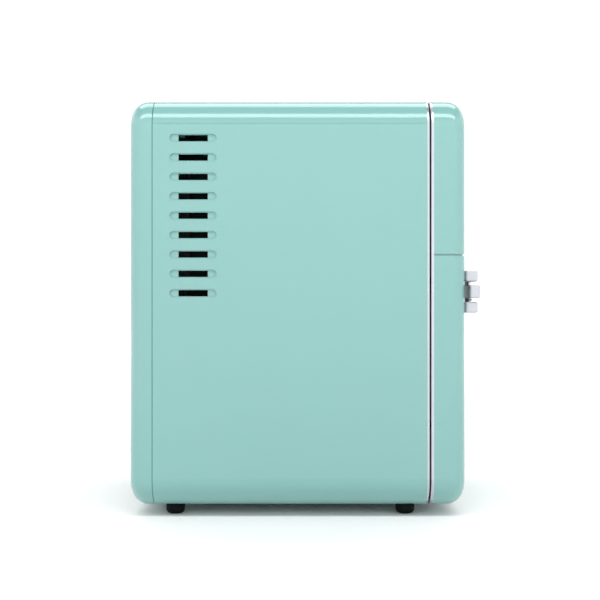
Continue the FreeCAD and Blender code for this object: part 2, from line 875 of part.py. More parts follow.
def arm_slot(name, level):
    """The slot in the cabinet's front for the arm's shank."""
    return block(name, (f"{HINGE_X} - hinge_eye - hinge_shank_gap", f"body_width / 2 - {INSIDE} + close_gap"),
                 (f"{TRIM_FRONT} - overcut", f"{SHELL_FRONT} + liner_wall + overcut"),
                 (f"{level} - hinge_plate / 2 - hinge_shank_gap",
                  f"{level} + hinge_plate / 2 + hinge_shank_gap"))


def anchor_space(name, level, side):
    """The space in the foam for an anchor block and the arm screwed to it."""
    near = f"{level} + {side} * (hinge_plate / 2 + anchor_thickness + space_gap)"
    far = f"{level} - {side} * (hinge_plate / 2 + head_height + 2 * space_gap)"
    ends = tuple(sorted((near, far), key=number))
    return block(name, (f"body_width / 2 - {INSIDE} - hinge_foot_width - space_gap", "body_width / 2"),
                 (f"{SHELL_FRONT} + liner_wall - space_gap",
                  f"{SHELL_FRONT} + liner_wall + hinge_foot_depth + 2 * space_gap"), ends)


def door_core(name, inset, span):
    """The door's plan outline, set in from its skin, over a span of heights."""
    body = new_body(name)
    plan = plan_sketch(body, name + "_plan", span[0], y=SKIN_REAR)
    rounded_rectangle(plan, f"body_width - 2 * ({inset})", f"2 * (door_depth - ({inset}))",
                      f"edge_radius - ({inset})")
    pad(body, plan, f"({span[1]}) - ({span[0]})")
    return body


def hinge_arm(name, level, side):
    """The steel arm with its eye, the anchor block it is screwed to, and the two screws."""
    thick = (f"{level} - hinge_plate / 2", f"{level} + hinge_plate / 2")
    through = (f"{level} - hinge_plate", f"{level} + hinge_plate")
    edge = f"(body_width / 2 - {INSIDE})"
    start = f"({SHELL_FRONT} + liner_wall + close_gap)"
    foot_across = (f"{edge} - hinge_foot_width", edge)
    foot_along = (start, f"{start} + hinge_foot_depth")
    eye = rod(name + "_eye", "z", *thick, "hinge_eye", (HINGE_X, HINGE_Y))
    shank = block(name + "_shank", (f"{HINGE_X} - hinge_eye", edge), (HINGE_Y, f"{start} + overcut"), thick)
    plate = block(name + "_plate", foot_across, foot_along, thick)
    anchor_near = f"{level} + {side} * hinge_plate / 2"
    anchor_far = f"{level} + {side} * (hinge_plate / 2 + anchor_thickness)"
    anchor_span = tuple(sorted((anchor_near, anchor_far), key=number))
    anchor = block(name + "_anchor_block", foot_across, foot_along, anchor_span)
    head = f"{level} - {side} * hinge_plate / 2"
    top = f"{level} - {side} * (hinge_plate / 2 + head_height)"
    tip = f"{level} + {side} * (hinge_plate / 2 + hinge_screw_length)"
    arm_holes = [rod(name + "_pin_hole", "z", *through, "hinge_pin_radius + pin_gap", (HINGE_X, HINGE_Y))]
    anchor_holes = []
    screws = []
    for index in range(2):
        where = (f"{edge} - hinge_foot_width / 2",
                 f"{start} + hinge_screw_inset + {index} * hinge_screw_spacing")
        screws.append(screw(f"{name}_screw_{index}", "z", head, tip, top, where))
        arm_holes.append(rod(f"{name}_hole_{index}", "z", *through, "screw_hole", where))
        low, high = sorted((level, anchor_far), key=number)
        anchor_holes.append(rod(f"{name}_anchor_hole_{index}", "z", low, high, "screw_hole", where))
    node(cut(name + "_arm_drilled", join(name + "_arm_solid", [eye, shank, plate]), arm_holes),
         name + "_hinge_arm")
    node(cut(name + "_anchor_drilled", anchor, anchor_holes), name + "_hinge_anchor")
    return screws


def hinge_carrier(name, level):
    """The hinge pin, and the block in the door that turns on it."""
    node(rod(name + "_pin", "z", f"{level} - hinge_pin_half", f"{level} + hinge_pin_half",
             "hinge_pin_radius", (HINGE_X, HINGE_Y)), name + "_hinge_pin")
    ends = (f"{level} - hinge_block_half", f"{level} + hinge_block_half")
    carrier = doc.addObject("Part::Common", name + "_carrier")
    carrier.Base = block(name + "_carrier_stock",
                         (f"body_width / 2 - {INSIDE} - hinge_block_width", "body_width / 2"),
                         (f"{HINGE_Y} - hinge_block_front", f"{SKIN_REAR} - fit_gap"), ends)
    carrier.Tool = door_core(name + "_carrier_core", INSIDE, ends)
    doc.recompute()
    bore = rod(name + "_bore", "z", f"{level} - hinge_pin_half - hinge_shank_gap",
               f"{level} + hinge_pin_half + hinge_shank_gap", "hinge_bore", (HINGE_X, HINGE_Y))
    node(cut(name + "_carrier_bored", carrier, [hinge_slot(name + "_carrier_slot", level), bore]),
         name + "_hinge_block")


def carrier_space(name, level):
    """The space in the door's foam for a hinge block."""
    return block(name, (f"body_width / 2 - {INSIDE} - hinge_block_width - space_gap", "body_width / 2"),
                 (f"{HINGE_Y} - hinge_block_front - space_gap", DOOR_REAR),
                 (f"{level} - hinge_block_half - space_gap", f"{level} + hinge_block_half + space_gap"))


# Inner cabinet.

CLAMPS = corners("clamp_across", "clamp_up", "0", "stack_height")


def inner_liner():
    """The white moulding that makes the storage cavity and the face behind the gasket."""
    body = new_body("liner_tub")
    tub = front_sketch(body, "tub_outer", SHELL_FRONT)
    rounded_rectangle(tub, "cavity_width + 2 * liner_wall", "cavity_height + 2 * liner_wall",
                      "cavity_corner + liner_wall")
    pad(body, tub, "cavity_depth + liner_wall", backwards=True)
    mouth = front_sketch(body, "tub_inner", SHELL_FRONT)
    rounded_rectangle(mouth, "cavity_width", "cavity_height", "cavity_corner")
    pocket(body, mouth, "cavity_depth")
    soften(body, "cavity_back_round", flat_at("y", number(CAVITY_BACK)))
    soften(body, "cavity_back_round + liner_wall", flat_at("y", number(LINER_BACK)))
    flange = front_sketch(body, "liner_flange", SHELL_FRONT)
    rounded_rectangle(flange, f"body_width - 2 * {INSIDE}", f"body_height - 2 * {INSIDE}",
                      f"corner_radius - {INSIDE}")
    rounded_rectangle(flange, "cavity_width", "cavity_height", "cavity_corner")
    pad(body, flange, "liner_wall", backwards=True)
    window = front_sketch(body, "module_window", SHELL_FRONT, z="stack_height")
    rectangle(window, "module_side + 2 * fit_gap", "module_side + 2 * fit_gap")
    pocket(body, window)
    solids = [body]
    for side in (-1, 1):
        ends = sorted((f"({side}) * (cavity_width / 2 + liner_wall / 2)",
                       f"({side}) * (cavity_width / 2 - ledge_width)"), key=number)
        solids.append(block("ledge_left" if side < 0 else "ledge_right", tuple(ends),
                            (f"{SHELL_FRONT} + ledge_setback", f"{CAVITY_BACK} - skin_wall"),
                            ("ledge_height", "ledge_height + ledge_thickness")))
    holes = [arm_slot("liner_slot_" + name, level) for name, (level, _) in HINGE_LEVELS.items()]
    for index, where in enumerate(CLAMPS):
        holes.append(rod(f"liner_clamp_{index}", "y", CAVITY_BACK, f"{LINER_BACK} + overcut", "screw_hole",
                         where))
    node(cut("liner_drilled", join("liner_solids", solids), holes), "inner_liner")


def foam_insulation():
    """The foam block between the liner and the sleeve."""
    body = new_body("foam_block")
    outer = front_sketch(body, "foam_outer", f"{SHELL_FRONT} + liner_wall")
    rounded_rectangle(outer, f"body_width - 2 * {INSIDE}", f"body_height - 2 * {INSIDE}",
                      f"corner_radius - {INSIDE}")
    pad(body, outer, f"{BLOCK_REAR} - {SHELL_FRONT} - liner_wall", backwards=True)
    hollow = front_sketch(body, "foam_hollow", f"{SHELL_FRONT} + liner_wall")
    rounded_rectangle(hollow, "cavity_width + 2 * liner_wall", "cavity_height + 2 * liner_wall",
                      "cavity_corner + liner_wall")
    pocket(body, hollow, "cavity_depth")
    window = front_sketch(body, "foam_window", SHELL_FRONT, z="stack_height")
    rectangle(window, "module_side + 2 * fit_gap", "module_side + 2 * fit_gap")
    pocket(body, window)
    holes = [anchor_space(f"foam_{name}_space", level, side) for name, (level, side) in HINGE_LEVELS.items()]
    for index, where in enumerate(CLAMPS):
        holes.append(rod(f"foam_clamp_{index}", "y", CAVITY_BACK, f"{BLOCK_REAR} + overcut", "screw_hole",
                         where))
    for name, (x, y) in FEET.items():
        if number(y) < number(BLOCK_REAR):
            holes.append(rod(name + "_relief", "z", "body_bottom",
                             f"body_bottom + {INSIDE} + 2 * foot_bulb_length + overcut",
                             "foot_bulb + overcut", (x, y)))
    node(cut("foam_drilled", body, holes), "foam_insulation")


def shelf():
    """A slotted tray that rests on the liner's ledges."""
    body = new_body("shelf_plate")
    base = "(ledge_height + ledge_thickness + gasket_clearance)"
    middle = f"({CAVITY_BACK} - shelf_depth / 2 - shelf_back_gap)"
    plate = plan_sketch(body, "shelf_outline", base, y=middle)
    rounded_rectangle(plate, "cavity_width - 2 * shelf_side_gap", "shelf_depth", "shelf_corner")
    pad(body, plate, "shelf_thickness")
    soften(body, "shelf_edge", flat_at("z", number(f"{base} + shelf_thickness")))
    slots = plan_sketch(body, "shelf_slot", base, "-shelf_slot_pitch * (shelf_slot_count - 1) / 2", middle)
    rounded_rectangle(slots, "shelf_slot_width", "shelf_slot_length", "shelf_slot_width / 2 - close_gap")
    hole = pocket(body, slots, forwards=True)
    repeat_line(body, hole, slots, "H_Axis", "shelf_slot_pitch", "shelf_slot_count")
    node(body, "shelf")


# Thermoelectric stack.


def finned(name, base_size, base_at, base_thickness, fin_height, fin_count, forwards):
    """A base plate with a row of upright fins on one side."""
    body = new_body(name)
    width, height = base_size
    plate = front_sketch(body, name + "_plate", base_at, z="stack_height")
    rectangle(plate, width, height)
    pad(body, plate, base_thickness, backwards=not forwards)
    tips = f"{base_at} - ({base_thickness})" if forwards else f"{base_at} + ({base_thickness})"
    fin = front_sketch(body, name + "_fin", tips, f"-fin_pitch * ({fin_count} - 1) / 2", "stack_height")
    rectangle(fin, "fin_thickness", height)
    first = pad(body, fin, fin_height, backwards=not forwards)
    repeat_line(body, first, fin, "H_Axis", "fin_pitch", fin_count)
    return body


def stack():
    """Cold sink, spacer block, module and hot sink, clamped by four long screws."""
    cold = finned("cold_sink_body", ("cold_base_side", "cold_base_side"), CAVITY_BACK,
                  "cold_base_thickness", "cold_fin_height", "cold_fin_count", forwards=True)
    hot = finned("hot_sink_body", ("hot_base_width", "hot_base_height"), MODULE_REAR,
                 "hot_base_thickness", "hot_fin_height", "hot_fin_count", forwards=False)
    cold_holes = []
    hot_holes = []
    clamps = []
    for index, where in enumerate(CLAMPS):
        cold_holes.append(rod(f"cold_clamp_{index}", "y", COLD_BASE_FRONT, CAVITY_BACK, "screw_hole", where))
        hot_holes.append(rod(f"hot_clamp_{index}", "y", MODULE_REAR, HOT_BASE_REAR, "screw_hole", where))
        clamps.append(screw(f"clamp_{index}", "y", HOT_BASE_REAR, f"{COLD_BASE_FRONT} + fit_gap",
                            f"{HOT_BASE_REAR} + head_height", where, head="clamp_head"))
    node(cut("cold_sink_drilled", cold, cold_holes), "cold_heat_sink")
    node(cut("hot_sink_drilled", hot, hot_holes), "hot_heat_sink")
    node(group("clamps", clamps), "heat_sink_screws")
    node(block("spacer", ("-module_side / 2", "module_side / 2"), (CAVITY_BACK, BLOCK_REAR),
               ("stack_height - module_side / 2", "stack_height + module_side / 2")), "cold_block")
    node(block("module", ("-module_side / 2", "module_side / 2"), (BLOCK_REAR, MODULE_REAR),
               ("stack_height - module_side / 2", "stack_height + module_side / 2")), "peltier_module")


def fan_frame(name, side, depth, hub, front, screw_spread, screw_hole):
    """A fan's square frame: bore, four struts, stator cup and bearing sleeve."""
    rear = f"({front} + {depth})"
    centre = ("0", "stack_height")
    frame = new_body(name + "_frame_body")
    square = front_sketch(frame, name + "_square", front, z="stack_height")
    rounded_rectangle(square, side, side, "fan_corner")
    ring(square, f"{side} / 2 - fan_rim")
    pad(frame, square, depth, backwards=True)
    strut_middle = f"{rear} - fan_strut_depth / 2"
    struts = [centred(f"{name}_strut_{index}", across, "fan_strut_depth", up,
                      ("0", strut_middle, "stack_height"))
              for index, (across, up) in enumerate((("fan_strut_width", f"{side} - fan_rim"),
                                                    (f"{side} - fan_rim", "fan_strut_width")))]
    stator = rod(name + "_stator", "y", f"{rear} - fan_strut_depth", rear, hub, centre)
    sleeve = rod(name + "_sleeve", "y", f"{front} + fan_sleeve_setback", rear, "fan_sleeve", centre)
    holes = [rod(name + "_bearing", "y", front, f"{rear} - fan_strut_depth / 4", "fan_bore", centre)]
    for index, where in enumerate(corners(screw_spread, screw_spread, "0", "stack_height")):
        holes.append(rod(f"{name}_hole_{index}", "y", f"{front} - overcut", f"{rear} + overcut",
                         screw_hole, where))
    node(cut(name + "_frame_bored", join(name + "_frame_solid", [frame, *struts, stator, sleeve]), holes),
         name + "_frame")


def fan_rotor(name, side, depth, hub, front):
    """A fan's rotor: a cup with a shaft, and slanted blades round it."""
    rotor = new_body(name + "_rotor_body")
    face = f"{front} + fan_hub_setback"
    cup = front_sketch(rotor, name + "_cup", face, z="stack_height")
    ring(cup, hub)
    pad(rotor, cup, f"{depth} - fan_hub_depth_loss", backwards=True)
    soften(rotor, "fan_hub_round", flat_at("y", number(face)))
    hollow = front_sketch(rotor, name + "_cup_hollow", f"{face} + fan_hub_wall", z="stack_height")
    ring(hollow, f"{hub} - fan_hub_wall")
    pocket(rotor, hollow)
    shaft = front_sketch(rotor, name + "_shaft", f"{face} + fan_hub_wall / 2", z="stack_height")
    ring(shaft, "fan_shaft")
    pad(rotor, shaft, f"{depth} - fan_shaft_loss", backwards=True)
    root = f"({hub} - fan_hub_wall / 2)"
    tip = f"({side} / 2 - fan_rim - fan_tip_gap)"
    blade = side_sketch(rotor, name + "_blade", root, f"{front} + {depth} / 2 - fan_hub_setback",
                        "stack_height")
    reach = f"({depth} / 2 - fan_blade_margin)"
    rise = f"{reach} * fan_blade_rise"
    outline(blade, [
        (f"-{reach}", f"-{rise}"),
        (f"-{reach} + fan_blade_thickness", f"-{rise}"),
        (reach, rise),
        (f"{reach} - fan_blade_thickness", rise),
    ])
    vane = pad(rotor, blade, f"{tip} - {root}")
    repeat_round(rotor, vane, cup, "fan_blade_count")
    node(rotor, name + "_rotor")


def inner_fan_cover():
    """The white cover over the cold sink and its fan, inside the cavity."""
    body = new_body("shroud_body")
    front = f"({CAVITY_BACK} - shroud_depth)"
    outer = front_sketch(body, "shroud_outer", front, z="stack_height")
    rounded_rectangle(outer, "shroud_side", "shroud_side", "shroud_corner")
    pad(body, outer, "shroud_depth", backwards=True)
    soften(body, "shroud_round", flat_at("y", number(front)))
    hollow = front_sketch(body, "shroud_hollow", CAVITY_BACK, z="stack_height")
    rounded_rectangle(hollow, "shroud_side - 2 * shroud_wall", "shroud_side - 2 * shroud_wall",
                      "shroud_corner - shroud_wall")
    pocket(body, hollow, "shroud_depth - shroud_wall", forwards=True)
    grille(body, front, "0", "stack_height",
           [("shroud_grille_radius", "shroud_grille_length", "grille_inner_count")])
    lowest = "stack_height - shroud_vent_pitch * (shroud_vent_count - 1) / 2"
    vent = side_sketch(body, "shroud_vent", "0", f"{CAVITY_BACK} - shroud_vent_setback", lowest)
    stadium(vent, "shroud_vent_length", "shroud_vent_height")
    slot = pocket(body, vent, both=True)
    repeat_line(body, slot, vent, "V_Axis", "shroud_vent_pitch", "shroud_vent_count")
    node(body, "inner_fan_cover")


# Electrical fittings in the rear cover.


def inlet(name, place, length, height, pin, spacing):
    """A power inlet: a flanged housing with a round-ended socket and two pins."""
    body = new_body(name + "_housing")
    flange = front_sketch(body, name + "_flange", FITTING_FACE, place, "fitting_height")
    rounded_rectangle(flange, f"{length} + 2 * flange_rim", f"{height} + 2 * flange_rim", "flange_corner")
    pad(body, flange, "flange_thickness", backwards=True)
    barrel = front_sketch(body, name + "_barrel", FITTING_FACE, place, "fitting_height")
    rectangle(barrel, f"{length} + 2 * fitting_wall", f"{height} + 2 * fitting_wall")
    pad(body, barrel, "fitting_depth")
    mouth = front_sketch(body, name + "_mouth", f"{FITTING_FACE} + flange_thickness", place, "fitting_height")
    stadium(mouth, length, height)
    pocket(body, mouth, "socket_depth", forwards=True)
    floor = f"({FITTING_FACE} + flange_thickness - socket_depth)"
    root = f"{floor} - pin_root"
    sockets = []
    pins = []
    for index, side in enumerate((-1, 1)):
        where = (f"{place} + ({side}) * {spacing}", "fitting_height")
        sockets.append(rod(f"{name}_pin_hole_{index}", "y", root, f"{floor} + overcut",
                           f"{pin} + pin_gap", where))
        pins.append(rod(f"{name}_pin_{index}", "y", root, f"{floor} + socket_depth - pin_setback", pin,
                        where))
    node(cut(name + "_drilled", body, sockets), name)
    node(group(name + "_pin_pair", pins), name + "_pins")


def mode_switch():
    """The hot / off / cold rocker in its housing, pivoting on two stub pins along X."""
    centre = ("fitting_spacing", "fitting_height")
    body = new_body("switch_body")
    flange = front_sketch(body, "switch_flange", FITTING_FACE, *centre)
    rounded_rectangle(flange, "switch_width + 2 * switch_rim", "switch_height + 2 * switch_rim",
                      "switch_corner")
    pad(body, flange, "flange_thickness", backwards=True)
    barrel = front_sketch(body, "switch_barrel", FITTING_FACE, *centre)
    rectangle(barrel, "switch_width - switch_step", "switch_height - switch_step")
    pad(body, barrel, "switch_barrel_depth")
    well = front_sketch(body, "switch_well", f"{FITTING_FACE} + flange_thickness", *centre)
    rectangle(well, "rocker_width + 2 * rocker_side_gap", "2 * rocker_half + 2 * rocker_end_gap")
    pocket(body, well, "flange_thickness + rocker_well", forwards=True)
    pivot_y = f"({FITTING_FACE} - rocker_pivot)"
    left = "fitting_spacing - rocker_width / 2"
    reach = "(rocker_pin_reach + fit_gap)"
    bore = rod("rocker_bore", "x", f"{left} - {reach}", f"{left} + rocker_width + {reach}",
               "rocker_pin + rocker_pin_gap", (pivot_y, "fitting_height"))
    node(cut("switch_bored", body, [bore]), "switch_housing")
    rocker = new_body("rocker_body")
    profile = side_sketch(rocker, "rocker_profile", left, pivot_y, "fitting_height")
    outline(profile, [
        ("-rocker_back", "-rocker_half * rocker_face_share"),
        ("rocker_front", "-rocker_half"),
        ("rocker_middle", "0"),
        ("rocker_front", "rocker_half"),
        ("-rocker_back", "rocker_half * rocker_face_share"),
    ])
    pad(rocker, profile, "rocker_width")
    stub = side_sketch(rocker, "rocker_stub", f"{left} - rocker_pin_reach", pivot_y, "fitting_height")
    ring(stub, "rocker_pin")
    pad(rocker, stub, "rocker_width + 2 * rocker_pin_reach")
    node(rocker, "mode_rocker")


def power_board():
    """The circuit board on its posts, its screws and the components on it."""
    top = "(board_height + board_thickness)"
    board = block("board_plate", ("-board_width / 2", "board_width / 2"),
                  ("board_station - board_depth / 2", "board_station + board_depth / 2"),
                  ("board_height", top))
    holes = []
    screws = []
    for index, where in enumerate(BOARD_POSTS):
        holes.append(rod(f"board_hole_{index}", "z", "board_height - overcut", f"{top} + overcut",
                         "screw_hole", where))
        screws.append(screw(f"board_screw_{index}", "z", top, f"{top} - board_screw_length",
                            f"{top} + head_height", where))
    node(cut("board_drilled", board, holes), "power_board")
    node(group("board_fasteners", screws), "board_screws")
    transformer = centred("transformer", "transformer_width", "transformer_depth", "transformer_height",
                          ("-transformer_place", "board_station", f"{top} + transformer_height / 2"))
    regulator = centred("regulator", "regulator_width", "regulator_depth", "regulator_height",
                        ("regulator_place", "board_station - regulator_setback",
                         f"{top} + regulator_height / 2"))
    choke = rod("choke", "z", top, f"{top} + choke_height", "choke_radius",
                ("choke_place", "board_station + choke_setback"))
    capacitors = [rod(f"capacitor_{index}", "z", top, f"{top} + capacitor_height", "capacitor_radius",
                      (f"{index} * capacitor_pitch - capacitor_place", "board_station - capacitor_setback"))
                  for index in range(2)]
    node(group("components", [transformer, choke, regulator, *capacitors]), "board_components")


# Door.


LATCH_SCREWS = [("-(latch_inner + latch_screw_inset)", f"latch_height + ({side}) * latch_cheek_offset")
                for side in (-1, 1)]
MAGNET_X = ("-(cavity_width / 2 + magnet_offset + magnet_width)", "-(cavity_width / 2 + magnet_offset)")
MAGNET_Z = (f"{MIDDLE} - magnet_half", f"{MIDDLE} + magnet_half")
BINS = {"lower": "lower_bin_base", "upper": "upper_bin_base"}


def split_groove():
    """The tool for the groove that runs across the door's front and round its sides."""
    band = block("split_band", ("-body_width", "body_width"),
                 (f"{DOOR_FRONT} - 2 * split_depth", f"{SKIN_REAR} + overcut"),
                 ("split_height - split_width / 2", "split_height + split_width / 2"))
    core = door_core("split_core", "split_depth",
                     ("split_height - split_width", "split_height + split_width"))
    return cut("split_tool", band, [core])


def finger_recess():
    """The tool for the dished recess behind the latch lever."""
    recess = new_body("recess_tool")
    dip = front_sketch(recess, "recess_profile", f"{DOOR_FRONT} - overcut", RECESS_X, "latch_height")
    rounded_rectangle(dip, "recess_width", "recess_height", "recess_corner")
    pad(recess, dip, "recess_depth + overcut", backwards=True)
    soften(recess, "recess_round", flat_at("y", number(f"{DOOR_FRONT} + recess_depth")))
    return recess


def door_skin():
    """The mint door: split groove, ribbed upper half, finger recess behind the lever."""
    body = new_body("door_tray")
    casing(body, SKIN_REAR, "door_depth", open_rear=True)
    rib = front_sketch(body, "door_rib", DOOR_FRONT, z="rib_base")
    stadium(rib, "rib_length", "rib_width")
    groove = pocket(body, rib, "rib_depth")
    repeat_line(body, groove, rib, "V_Axis", "rib_pitch", "rib_count")
    boss = block("recess_boss",
                 (f"{RECESS_X} - (recess_width + recess_wall) / 2",
                  f"{RECESS_X} + recess_width / 2 + recess_wall"),
                 (f"{DOOR_FRONT} + skin_wall / 2", f"{DOOR_FRONT} + recess_depth + recess_wall"),
                 ("latch_height - recess_height / 2 - recess_wall",
                  "latch_height + recess_height / 2 + recess_wall"))
    holes = [split_groove(), finger_recess()]
    for name, (level, _) in HINGE_LEVELS.items():
        holes.append(hinge_slot(f"skin_slot_{name}", level))
    for index, where in enumerate(LATCH_SCREWS):
        holes.append(rod(f"skin_latch_hole_{index}", "y", f"{DOOR_FRONT} - overcut",
                         f"{DOOR_FRONT} + skin_wall + overcut", "screw_hole", where))
    node(cut("door_skin_cut", join("door_skin_solid", [body, boss]), holes), "door_skin")


def door_liner():
    """The white inner door panel, with the raised frame that holds the bins."""
    body = new_body("door_pan")
    flange = front_sketch(body, "pan_flange", DOOR_REAR)
    rounded_rectangle(flange, "body_width - 2 * (trim_width + fit_gap)",
                      "body_height - 2 * (trim_width + fit_gap)", "corner_radius - trim_width - fit_gap")
    pad(body, flange, "liner_wall")
    dyke = front_sketch(body, "pan_dyke", DOOR_REAR)
    rounded_rectangle(dyke, "dyke_width", "dyke_height", "dyke_corner")
    rounded_rectangle(dyke, "dyke_width - 2 * dyke_bar", "dyke_height - 2 * dyke_bar", "dyke_inner_corner")
    pad(body, dyke, "dyke_depth", backwards=True)
    soften(body, "dyke_round", flat_at("y", number(f"{DOOR_REAR} + dyke_depth")))
    hollow = front_sketch(body, "pan_hollow", f"{DOOR_REAR} - liner_wall")
    rounded_rectangle(hollow, "dyke_width - 2 * liner_wall", "dyke_height - 2 * liner_wall",
                      "dyke_corner - liner_wall")
    rounded_rectangle(hollow, "dyke_width - 2 * dyke_bar + 2 * liner_wall",
                      "dyke_height - 2 * dyke_bar + 2 * liner_wall", "dyke_inner_corner + liner_wall")
    pocket(body, hollow, "dyke_depth")
    solids = [body]
    for name, base in BINS.items():
        for side in (-1, 1):
            root = f"({side}) * (dyke_width / 2 - dyke_bar + 1)"
            tip = f"({side}) * (dyke_width / 2 - dyke_bar - peg_length)"
            low, high = sorted((root, tip), key=number)
            solids.append(rod(f"{name}_peg_{'left' if side < 0 else 'right'}", "x", low, high, "peg_radius",
                              (f"{DOOR_REAR} + peg_standoff", f"{base} + peg_height")))
    node(join("pan_solids", solids), "door_liner")


def door_bin(name, base):
    """An open rack that hangs on two pegs of the door's frame."""
    body = new_body(name + "_bin_body")
    rear = f"({DOOR_REAR} + bin_gap)"
    outer = plan_sketch(body, name + "_bin_outer", base, y=f"{rear} + bin_depth / 2")
    rounded_rectangle(outer, "bin_width", "bin_depth", "bin_corner")
    pad(body, outer, "bin_height")
    soften(body, "bin_round", flat_at("z", number(base)))
    inner = plan_sketch(body, name + "_bin_inner", f"{base} + bin_height", y=f"{rear} + bin_depth / 2")
    rounded_rectangle(inner, "bin_width - 2 * bin_wall", "bin_depth - 2 * bin_wall", "bin_corner - bin_wall")
    pocket(body, inner, "bin_height - bin_wall")
    window = front_sketch(body, name + "_bin_window", f"{rear} + bin_depth + overcut",
                          z=f"{base} + bin_height / 2")
    rounded_rectangle(window, "bin_width - 2 * bin_window_inset", "bin_window_height", "bin_window_corner")
    pocket(body, window, "2 * bin_wall + overcut", forwards=True)
    peg_top = f"({base} + peg_height + peg_radius + gasket_clearance)"
    ears = [body]
    for side in (-1, 1):
        low, high = sorted((f"({side}) * (bin_width / 2 - bin_wall / 3)",
                            f"({side}) * (bin_width / 2 + peg_length - bin_gap)"), key=number)
        ears.append(block(f"{name}_ear_{'left' if side < 0 else 'right'}", (low, high),
                          (f"{DOOR_REAR} + peg_standoff - bin_ear_half",
                           f"{DOOR_REAR} + peg_standoff + bin_ear_half"),
                          (peg_top, f"{peg_top} + bin_ear_height")))
    node(join(name + "_bin_solid", ears), name + "_door_bin")


def door_foam():
    """Foam between the door's skin and its inner panel."""
    body = new_body("door_foam_body")
    outer = front_sketch(body, "door_foam_outer", f"{SKIN_REAR} - gasket_clearance")
    rounded_rectangle(outer, f"body_width - 2 * {INSIDE}", f"body_height - 2 * {INSIDE}",
                      f"corner_radius - {INSIDE}")
    pad(body, outer, f"door_depth - {INSIDE} - gasket_clearance")
    soften(body, f"edge_radius - {INSIDE} + gasket_clearance",
           flat_at("y", number(f"{DOOR_FRONT} + {INSIDE}")))
    holes = [centred("foam_recess", "recess_width + 2 * recess_wall + 2 * space_gap",
                     "2 * (recess_depth + recess_wall + space_gap)",
                     "recess_height + 2 * recess_wall + 2 * space_gap",
                     (RECESS_X, DOOR_FRONT, "latch_height"))]
    for name, (level, _) in HINGE_LEVELS.items():
        holes.append(carrier_space(f"foam_carrier_{name}", level))
    for index, where in enumerate(LATCH_SCREWS):
        holes.append(rod(f"foam_latch_{index}", "y", DOOR_FRONT,
                         f"{DOOR_FRONT} + skin_wall + 2 * head_height", "head_radius + space_gap", where))
    holes.append(block("foam_magnet", MAGNET_X, (f"{SKIN_REAR} - magnet_depth - space_gap", DOOR_REAR),
                       MAGNET_Z))
    node(cut("door_foam_cut", body, holes), "door_foam")


def catch():
    """Magnet behind the door's inner panel and the steel strip it pulls on."""
    node(block("magnet_bar", MAGNET_X,
               (f"{SKIN_REAR} - magnet_depth", f"{DOOR_REAR} - liner_wall - gasket_clearance"), MAGNET_Z),
         "door_magnet")
    node(block("strike_bar", MAGNET_X, (f"{SHELL_FRONT} - strike_thickness", SHELL_FRONT),
               (f"{MIDDLE} - strike_half", f"{MIDDLE} + strike_half")), "strike_plate")


def door_gasket():
    """The rubber seal round the inner door panel."""
    body = new_body("gasket_body")
    sketch = front_sketch(body, "gasket_loops", DOOR_REAR)
    rounded_rectangle(sketch, "body_width - 2 * gasket_inset", "body_height - 2 * gasket_inset",
                      "corner_radius - gasket_inset")
    rounded_rectangle(sketch, "body_width - 2 * (gasket_inset + gasket_width)",
                      "body_height - 2 * (gasket_inset + gasket_width)", "gasket_corner")
    pad(body, sketch, "trim_depth + door_gap - gasket_clearance", backwards=True)
    soften(body, "gasket_round", flat_at("y", number(f"{SHELL_FRONT} - gasket_clearance")))
    node(body, "door_gasket")


def latch_bracket():
    """Two cheeks joined by a web, the pin between them and the two screws that hold them."""
    solids = []
    for side, name in ((1, "upper"), (-1, "lower")):
        body = new_body(f"cheek_{name}")
        low_face = f"latch_height + ({side}) * latch_cheek_offset - latch_cheek / 2"
        sketch = plan_sketch(body, f"cheek_{name}_plan", low_face, "-(latch_outer + latch_inner) / 2",
                             f"{DOOR_FRONT} - latch_proud / 2")
        rounded_rectangle(sketch, "latch_outer - latch_inner", "latch_proud", "cheek_corner")
        pad(body, sketch, "latch_cheek")
        soften(body, "cheek_round", lambda edge: edge.BoundBox.ZLength < TOUCHING)
        solids.append(body)
    web_left = "-latch_inner - web_inset - web_width"
    solids.append(block("latch_web", (web_left, f"{web_left} + web_width"),
                        (f"{DOOR_FRONT} - web_standoff - web_thickness", f"{DOOR_FRONT} - web_standoff"),
                        ("latch_height - latch_cheek_offset", "latch_height + latch_cheek_offset")))
    reach = "(latch_cheek_offset + latch_cheek / 2 - cheek_round)"
    ends = (f"latch_height - {reach}", f"latch_height + {reach}")
    pivot = ("-lever_pivot", LEVER_Y)
    holes = [rod("cheek_bore", "z", *ends, "latch_pin_radius + pin_gap", pivot)]
    screws = []
    for index, where in enumerate(LATCH_SCREWS):
        tip = f"{DOOR_FRONT} - latch_screw_length"
        head = f"{DOOR_FRONT} + skin_wall"
        holes.append(rod(f"cheek_screw_hole_{index}", "y", f"{tip} - fit_gap", f"{DOOR_FRONT} + overcut",
                         "screw_hole", where))
        screws.append(screw(f"latch_screw_{index}", "y", head, tip, f"{head} + head_height", where))
    node(cut("bracket_bored", join("bracket_solid", solids), holes), "latch_bracket")
    node(group("latch_fasteners", screws), "latch_screws")
    node(rod("latch_pivot", "z", *ends, "latch_pin_radius", pivot), "latch_pin")


def latch_lever():
    """The lever that turns on the latch pin, its free end towards the door's left edge."""
    lever = new_body("lever_body")
    plan = plan_sketch(lever, "lever_plan", "latch_height - lever_height / 2",
                       "-lever_pivot - lever_length / 2", LEVER_Y)
    rounded_rectangle(plan, "lever_length + lever_thickness", "lever_thickness", "lever_corner")
    pad(lever, plan, "lever_height")
    soften(lever, "lever_round", lambda edge: edge.BoundBox.ZLength < TOUCHING)
    bore = rod("lever_bore", "z", "latch_height - lever_height", "latch_height + lever_height",
               "latch_bore", ("-lever_pivot", LEVER_Y))
    node(cut("lever_bored", lever, [bore]), "latch_lever")


